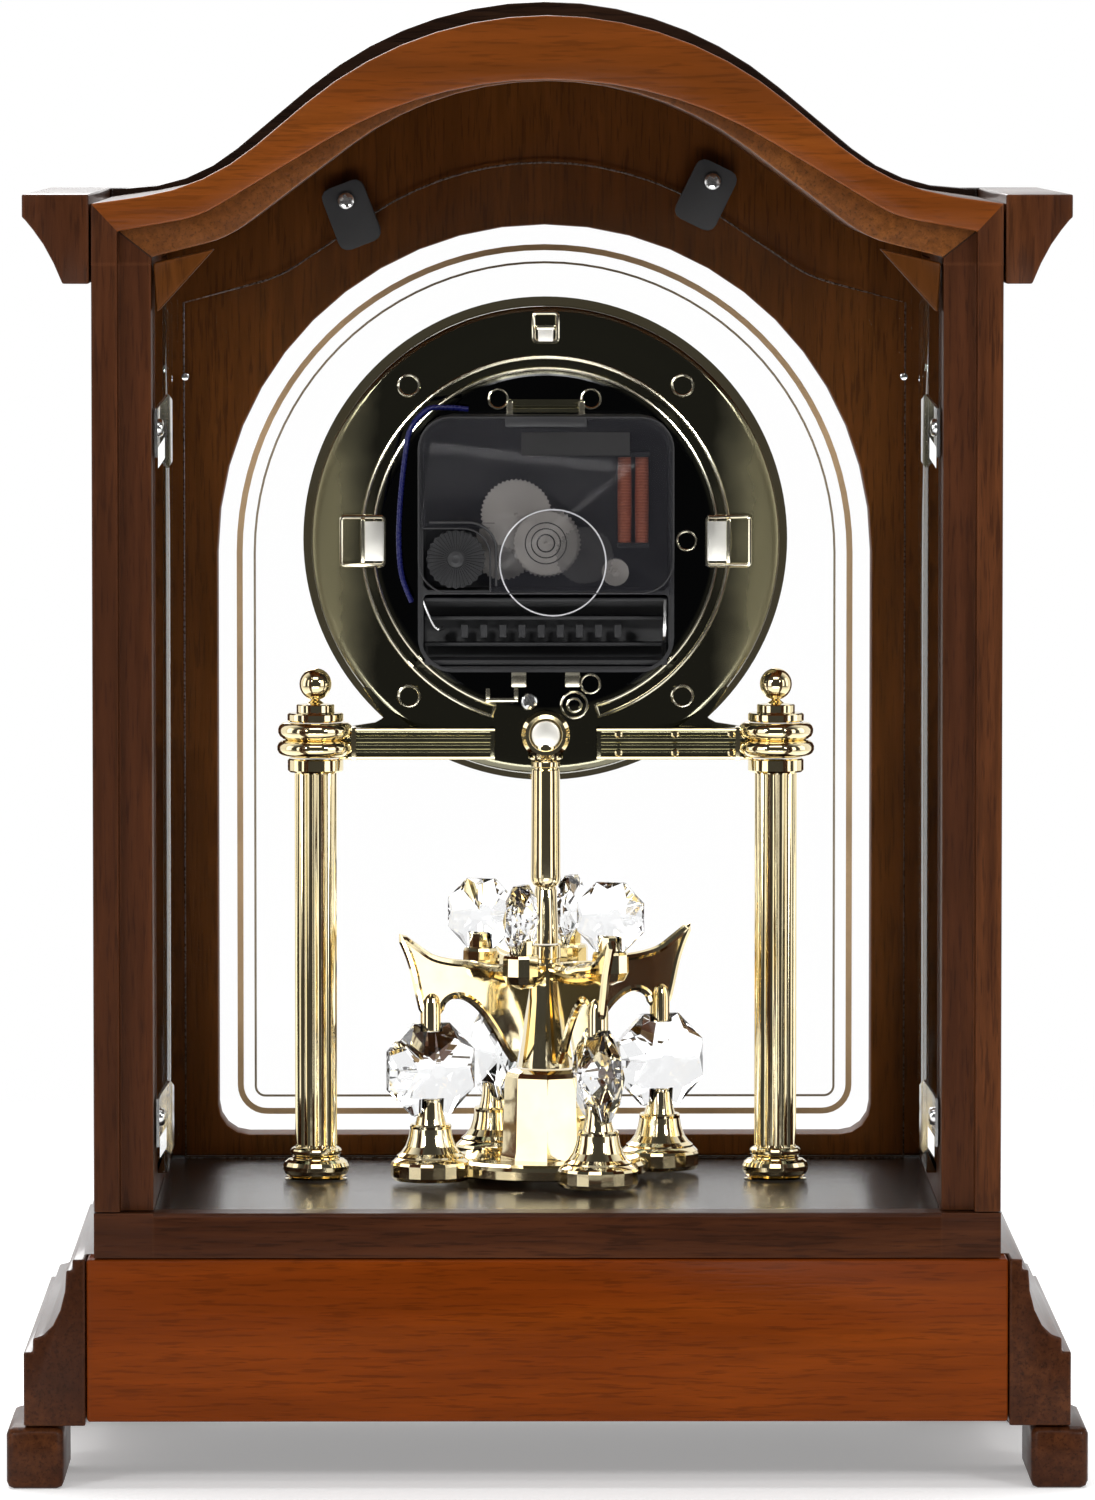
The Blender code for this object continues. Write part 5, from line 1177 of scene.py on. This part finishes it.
# ---------------------------------------------------------------- pendulum
LOWER_START_DEG = 114.0
UPPER_START_DEG = 69.0
LOWER_RADIUS = 27.7
UPPER_RADIUS = 15.2
CUP_TOP_Z = 78.5
CAP_LOW_Z = 93.3
UPPER_CUP_TOP_Z = 113.7
FIN_TOP = ((3.4, 106.2), (8.0, 106.3), (13.0, 106.4), (18.0, 107.4), (23.0, 108.0), (27.5, 109.2))
FIN_TOP += ((31.2, 111.6), (34.6, 114.0))
FIN_BACK = ((34.6, 114.0), (33.0, 110.6), (31.6, 106.6), (30.4, 101.5), (29.4, 97.6))
FIN_ARCH = ((25.6, 97.6), (24.8, 99.6), (22.6, 100.9), (19.4, 100.6), (15.8, 98.0), (12.4, 93.6))
FIN_ARCH += ((9.4, 88.6), (7.2, 85.6))


def around(start_deg, radius):
    """Angle and place of each of the four pieces spaced round the pendulum's axis."""
    result = []
    for number in range(4):
        angle = radians(start_deg + 90.0 * number)
        result.append((angle, (radius * cos(angle), AXIS_Y + radius * sin(angle), 0.0)))
    return result


def standing(angle, radius=0.0, height=0.0):
    """The transform that stands a shape drawn in x and z in a radial plane of the pendulum."""
    turn = Matrix.Translation((0.0, AXIS_Y, height)) @ Matrix.Rotation(angle, 4, "Z")
    return turn @ Matrix.Translation((radius, 0.0, 0.0))


def cut_crystal(size, depth):
    """A flat octagonal crystal, standing, with a table and kite facets on both faces."""
    shape = bmesh.new()
    rows = []
    for reach, deep, turn in ((0.16, 0.5, 0.0), (0.76, 0.30, 0.5), (1.0, 0.10, 0.0)):
        turns = [2.0 * pi * (corner + 0.5 + turn) / 8.0 for corner in range(8)]
        rows.append([(size * reach * cos(a), -depth * deep, size * reach * sin(a)) for a in turns])
    faces = []
    for side in (1.0, -1.0):
        table, mid, girdle = [[shape.verts.new((x, y * side, z)) for x, y, z in row] for row in rows]
        shape.faces.new(table)
        for corner in range(8):
            after = (corner + 1) % 8
            shape.faces.new((table[corner], table[after], mid[corner]))
            shape.faces.new((table[after], mid[after], girdle[after], mid[corner]))
            shape.faces.new((mid[corner], girdle[after], girdle[corner]))
        faces.append(girdle)
    near, far = faces
    for corner in range(8):
        after = (corner + 1) % 8
        shape.faces.new((near[corner], near[after], far[after], far[corner]))
    bmesh.ops.recalc_face_normals(shape, faces=shape.faces)
    return shape


# Each tier's name, start angle, radius from the axis, middle height, size, depth and cup height.
CRYSTAL_TIERS = (
    ("lower", LOWER_START_DEG, LOWER_RADIUS, 84.8, 11.0, 8.6, CUP_TOP_Z),
    ("upper", UPPER_START_DEG, UPPER_RADIUS, 117.8, 8.25, 6.6, UPPER_CUP_TOP_Z),
)
CUP_RADIUS = 2.85
CAP_RADIUS = 2.5


def build_crystals():
    """Both tiers of crystals, each cut away round the brass that holds it."""
    for tier, start_deg, radius, height, size, depth, cup_top_z in CRYSTAL_TIERS:
        below, above = height - size - 4.0, height + size + 4.0
        for number, (angle, spot) in enumerate(around(start_deg, radius), 1):
            shape = moved(cut_crystal(size, depth), standing(angle, radius, height))
            obj = finished(f"{tier}_crystal_{number}", shape, CRYSTAL, PENDULUM, 3.0)
            hollow(obj, turned(rod_profile(CUP_RADIUS, below, cup_top_z + 0.15), spot, steps=24))
            if tier == "lower":
                hollow(obj, turned(rod_profile(CAP_RADIUS, CAP_LOW_Z - 0.15, above), spot, steps=24))
            smooth(obj, 3.0)


def rod_profile(radius, bottom_z, top_z):
    """The profile of a plain rod."""
    return [(0.0, top_z), (radius, top_z), (radius, bottom_z), (0.0, bottom_z)]


def faceted(profile, sides, centre, turn_deg):
    """A turned shape with few sides, turned about its axis."""
    shape = turned(profile, steps=sides)
    moved(shape, Matrix.Rotation(radians(turn_deg), 4, "Z"))
    return shifted(shape, *centre)


def build_pendulum_stem():
    """The stem: pivot, rounded sleeve and thinner lower rod."""
    stem = [(0.0, 155.5), (0.85, 155.4), (1.0, 155.1), (1.0, 151.9), (3.1, 151.9), (3.25, 151.6)]
    stem += [(3.25, 150.6), (3.0, 150.4), (3.0, 150.0), (3.15, 149.8), (3.3, 126.2), (3.2, 125.2)]
    stem += [(2.8, 124.4), (2.3, 124.1), (2.3, 123.7), (2.45, 123.4), (2.8, 113.2), (2.8, 111.6)]
    stem.append((0.0, 111.6))
    finished("pendulum_stem", turned(stem, PENDULUM_AXIS, steps=40), GOLD, PENDULUM, 25.0)


def build_pendulum_crown():
    """The crown: a faceted hub, four horned fins with bullet caps, and arms with fluted cups."""
    neck = [(0.0, 111.3), (3.1, 111.3), (3.3, 111.0), (3.3, 108.4), (3.1, 108.1), (3.1, 107.2), (0.0, 107.2)]
    hub = [(0.0, 107.6), (3.6, 107.4), (3.9, 106.8), (4.1, 99.0), (5.2, 90.0), (6.0, 84.9), (6.0, 84.25)]
    hub.append((0.0, 84.2))
    shapes = [turned(neck, PENDULUM_AXIS), faceted(hub, 12, PENDULUM_AXIS, 0.0)]
    outline = curve_through(FIN_TOP, 4)[:-1] + curve_through(FIN_BACK, 4) + curve_through(FIN_ARCH, 4)
    rim = [(across, 0.0, up) for across, up in outline[:-1]]
    cap = [(0.0, 101.7), (0.9, 101.5), (1.7, 100.8), (2.15, 99.6), (2.25, 98.0), (2.25, CAP_LOW_Z + 0.2)]
    cap += [(2.1, CAP_LOW_Z), (0.0, CAP_LOW_Z)]
    for angle, spot in around(LOWER_START_DEG, LOWER_RADIUS):
        shapes.append(moved(prism(outline, -0.75, 0.75, "y"), standing(angle)))
        shapes.append(moved(tube(rim, 1.0, 8), standing(angle)))
        shapes.append(turned(cap, spot, steps=28))
    arm = curve_through([(3.0, 105.0), (7.0, 103.8), (11.0, 103.8), (14.6, 105.2)], 6)
    arm = [(across, 0.0, up) for across, up in arm]
    cup = [(0.0, UPPER_CUP_TOP_Z), (2.2, UPPER_CUP_TOP_Z), (2.65, UPPER_CUP_TOP_Z - 0.4), (2.6, 110.4)]
    cup += [(3.7, 110.1), (4.0, 109.5), (4.1, 105.6), (3.2, 103.8), (1.0, 102.9), (0.0, 102.6)]
    for angle, spot in around(UPPER_START_DEG, UPPER_RADIUS):
        shapes.append(moved(tube(arm, 1.3, 12), standing(angle)))
        shapes.append(faceted(cup, 10, spot, 9.0))
    finished("pendulum_crown", joined(*shapes), GOLD, PENDULUM, 22.0)


def build_pendulum_base():
    """The base: a faceted block on a rosette, and four flared pedestals with cups."""
    core = [(0.0, 83.9), (6.9, 83.9), (8.3, 83.2), (9.0, 82.2), (9.5, 66.0), (9.9, 64.6), (9.9, 63.4)]
    core.append((0.0, 63.4))
    shapes = [faceted(core, 8, PENDULUM_AXIS, UPPER_START_DEG + 22.5)]
    rosette = [(0.0, 64.2), (18.0, 64.0), (20.5, 64.5), (22.0, 64.0), (22.6, 63.2), (22.6, 61.4)]
    rosette += [(22.0, 61.1), (0.0, 61.1)]
    shapes.append(turned(rosette, PENDULUM_AXIS, steps=64))
    foot = [(0.0, 66.2), (6.4, 66.0), (7.6, 65.4), (8.5, 64.6), (8.8, 64.0), (8.8, 61.4), (8.3, 60.7)]
    foot += [(8.1, 60.5), (0.0, 60.5)]
    dome = [(0.0, 72.8), (4.3, 72.8), (4.6, 72.4), (4.5, 71.8), (4.8, 70.0), (5.5, 68.0), (6.5, 66.6)]
    dome += [(7.4, 65.9), (7.4, 65.4), (0.0, 65.4)]
    cup = [(0.0, CUP_TOP_Z), (2.4, CUP_TOP_Z), (2.65, CUP_TOP_Z - 0.3), (2.75, 76.0), (3.1, 74.0)]
    cup += [(3.5, 72.6), (0.0, 72.6)]
    for _, spot in around(LOWER_START_DEG, LOWER_RADIUS):
        shapes.append(faceted(foot, 20, spot, 4.0))
        shapes.append(turned(dome, spot, steps=48))
        shapes.append(turned(cup, spot, steps=36))
    finished("pendulum_base", joined(*shapes), GOLD, PENDULUM, 16.0)


# ---------------------------------------------------------------- camera, lights and floor
CAMERA_DISTANCE = 2.1
CAMERA_HEIGHT = 0.302
CAMERA_ACROSS = 0.0125
AIM_HEIGHT = 0.1587
CAMERA_LENS = 237.0
# The least strength of the surround that is seen through a crystal.
CRYSTAL_LIGHT = 0.35
# Each light's name, place, height it points at and size in metres, and power in watts.
LIGHTS = (
    ("left_card", (1.32, 1.28, 0.42), 0.16, (0.8, 1.3), 5.8),
    ("right_card", (-1.42, 1.2, 0.42), 0.16, (0.8, 1.3), 5.8),
    ("left_rim", (1.7, 0.1, 0.5), 0.16, (0.6, 1.3), 3.0),
    ("right_rim", (-1.7, 0.1, 0.5), 0.16, (0.6, 1.3), 3.0),
    ("left_key", (1.15, 1.75, 1.0), 0.16, (0.32, 0.32), 11.0),
    ("right_key", (-1.15, 1.75, 1.0), 0.16, (0.32, 0.32), 11.0),
    ("high_softbox", (0.0, 1.7, 1.9), 0.16, (1.4, 0.6), 9.0),
    ("low_softbox", (0.0, 1.6, -0.5), 0.25, (1.3, 0.3), 15.0),
    ("front_softbox", (0.5, -1.7, 1.3), 0.16, (1.2, 1.2), 18.0),
    ("top_softbox", (0.0, -0.2, 2.0), 0.16, (1.6, 1.2), 22.0),
)


def area_light(name, place, aim_height, size, power):
    """A soft rectangular light that points at the clock's axis."""
    light = bpy.data.lights.new(name, "AREA")
    light.shape = "RECTANGLE"
    light.size, light.size_y = size
    light.energy = power
    obj = linked(name, light)
    obj.location = place
    aim = Vector((0.0, 0.0, aim_height)) - Vector(place)
    obj.rotation_euler = aim.to_track_quat("-Z", "Y").to_euler()


def build_surround():
    """A surround that lights from behind the clock; the camera itself sees it plain white."""
    world = bpy.data.worlds.new("studio")
    world.use_nodes = True
    tree = world.node_tree
    direction = add_node(tree, "TexCoord", "Generated", {})
    deep = add_node(tree, "SeparateXYZ", "Y", {"Vector": direction})
    limits = {"From Min": -0.35, "From Max": 0.4, "To Min": 0.95, "To Max": 0.05}
    fade = add_node(tree, "MapRange", "Result", {"Value": deep, **limits}, interpolation_type="SMOOTHSTEP")
    refracted = add_node(tree, "LightPath", "Is Transmission Ray", {})
    through = add_node(tree, "Math", "Value", {0: refracted, 1: CRYSTAL_LIGHT}, operation="MULTIPLY")
    lit = add_node(tree, "Math", "Value", {0: fade, 1: through}, operation="MAXIMUM")
    seen = add_node(tree, "LightPath", "Is Camera Ray", {})
    strength = add_node(tree, "Mix", "Result", {"Factor": seen, "A": lit, "B": 1.0})
    background = tree.nodes["Background"]
    feed(tree, background.inputs["Color"], (1.0, 1.0, 1.0))
    feed(tree, background.inputs["Strength"], strength)
    bpy.context.scene.world = world


def build_floor():
    """A pale floor that fades into the surround away from the clock."""
    shape = bmesh.new()
    bmesh.ops.create_grid(shape, x_segments=40, y_segments=40, size=1.6)
    floor = linked("studio_floor", stored(shape, bpy.data.meshes.new("studio_floor")))
    surface = Surface("studio_floor", roughness=0.7, Specular_IOR_Level=0.2, Emission_Strength=0.3)
    surface.fed("Base Color", surface.ramp(surface.noise(surface.place, 3.0), (0.3, 0.84), (0.7, 0.88)))
    reach = surface.node("VectorMath", "Value", {0: surface.place}, operation="LENGTH")
    surface.fed("Alpha", surface.ramp(reach, (0.16, 1.0), (0.75, 0.0)))
    floor.data.materials.append(surface.material)


def build_studio():
    """The floor, the lights and a camera that looks at the open rear of the clock."""
    build_surround()
    build_floor()
    for light in LIGHTS:
        area_light(*light)
    lens = bpy.data.cameras.new("photo_camera")
    lens.sensor_width = 36.0
    lens.lens = CAMERA_LENS
    camera = linked("photo_camera", lens)
    rear = REAR_Y * MM
    camera.location = (CAMERA_ACROSS, rear + CAMERA_DISTANCE, CAMERA_HEIGHT)
    aim = Vector((0.0, rear, AIM_HEIGHT)) - camera.location
    camera.rotation_euler = aim.to_track_quat("-Z", "Y").to_euler()
    bpy.context.scene.camera = camera
    bpy.context.scene.view_settings.view_transform = "Standard"


build_case()
build_glazing()
build_columns()
build_beam()
build_housing()
build_movement()
build_dial()
build_pendulum_stem()
build_pendulum_crown()
build_pendulum_base()
build_crystals()
build_studio()
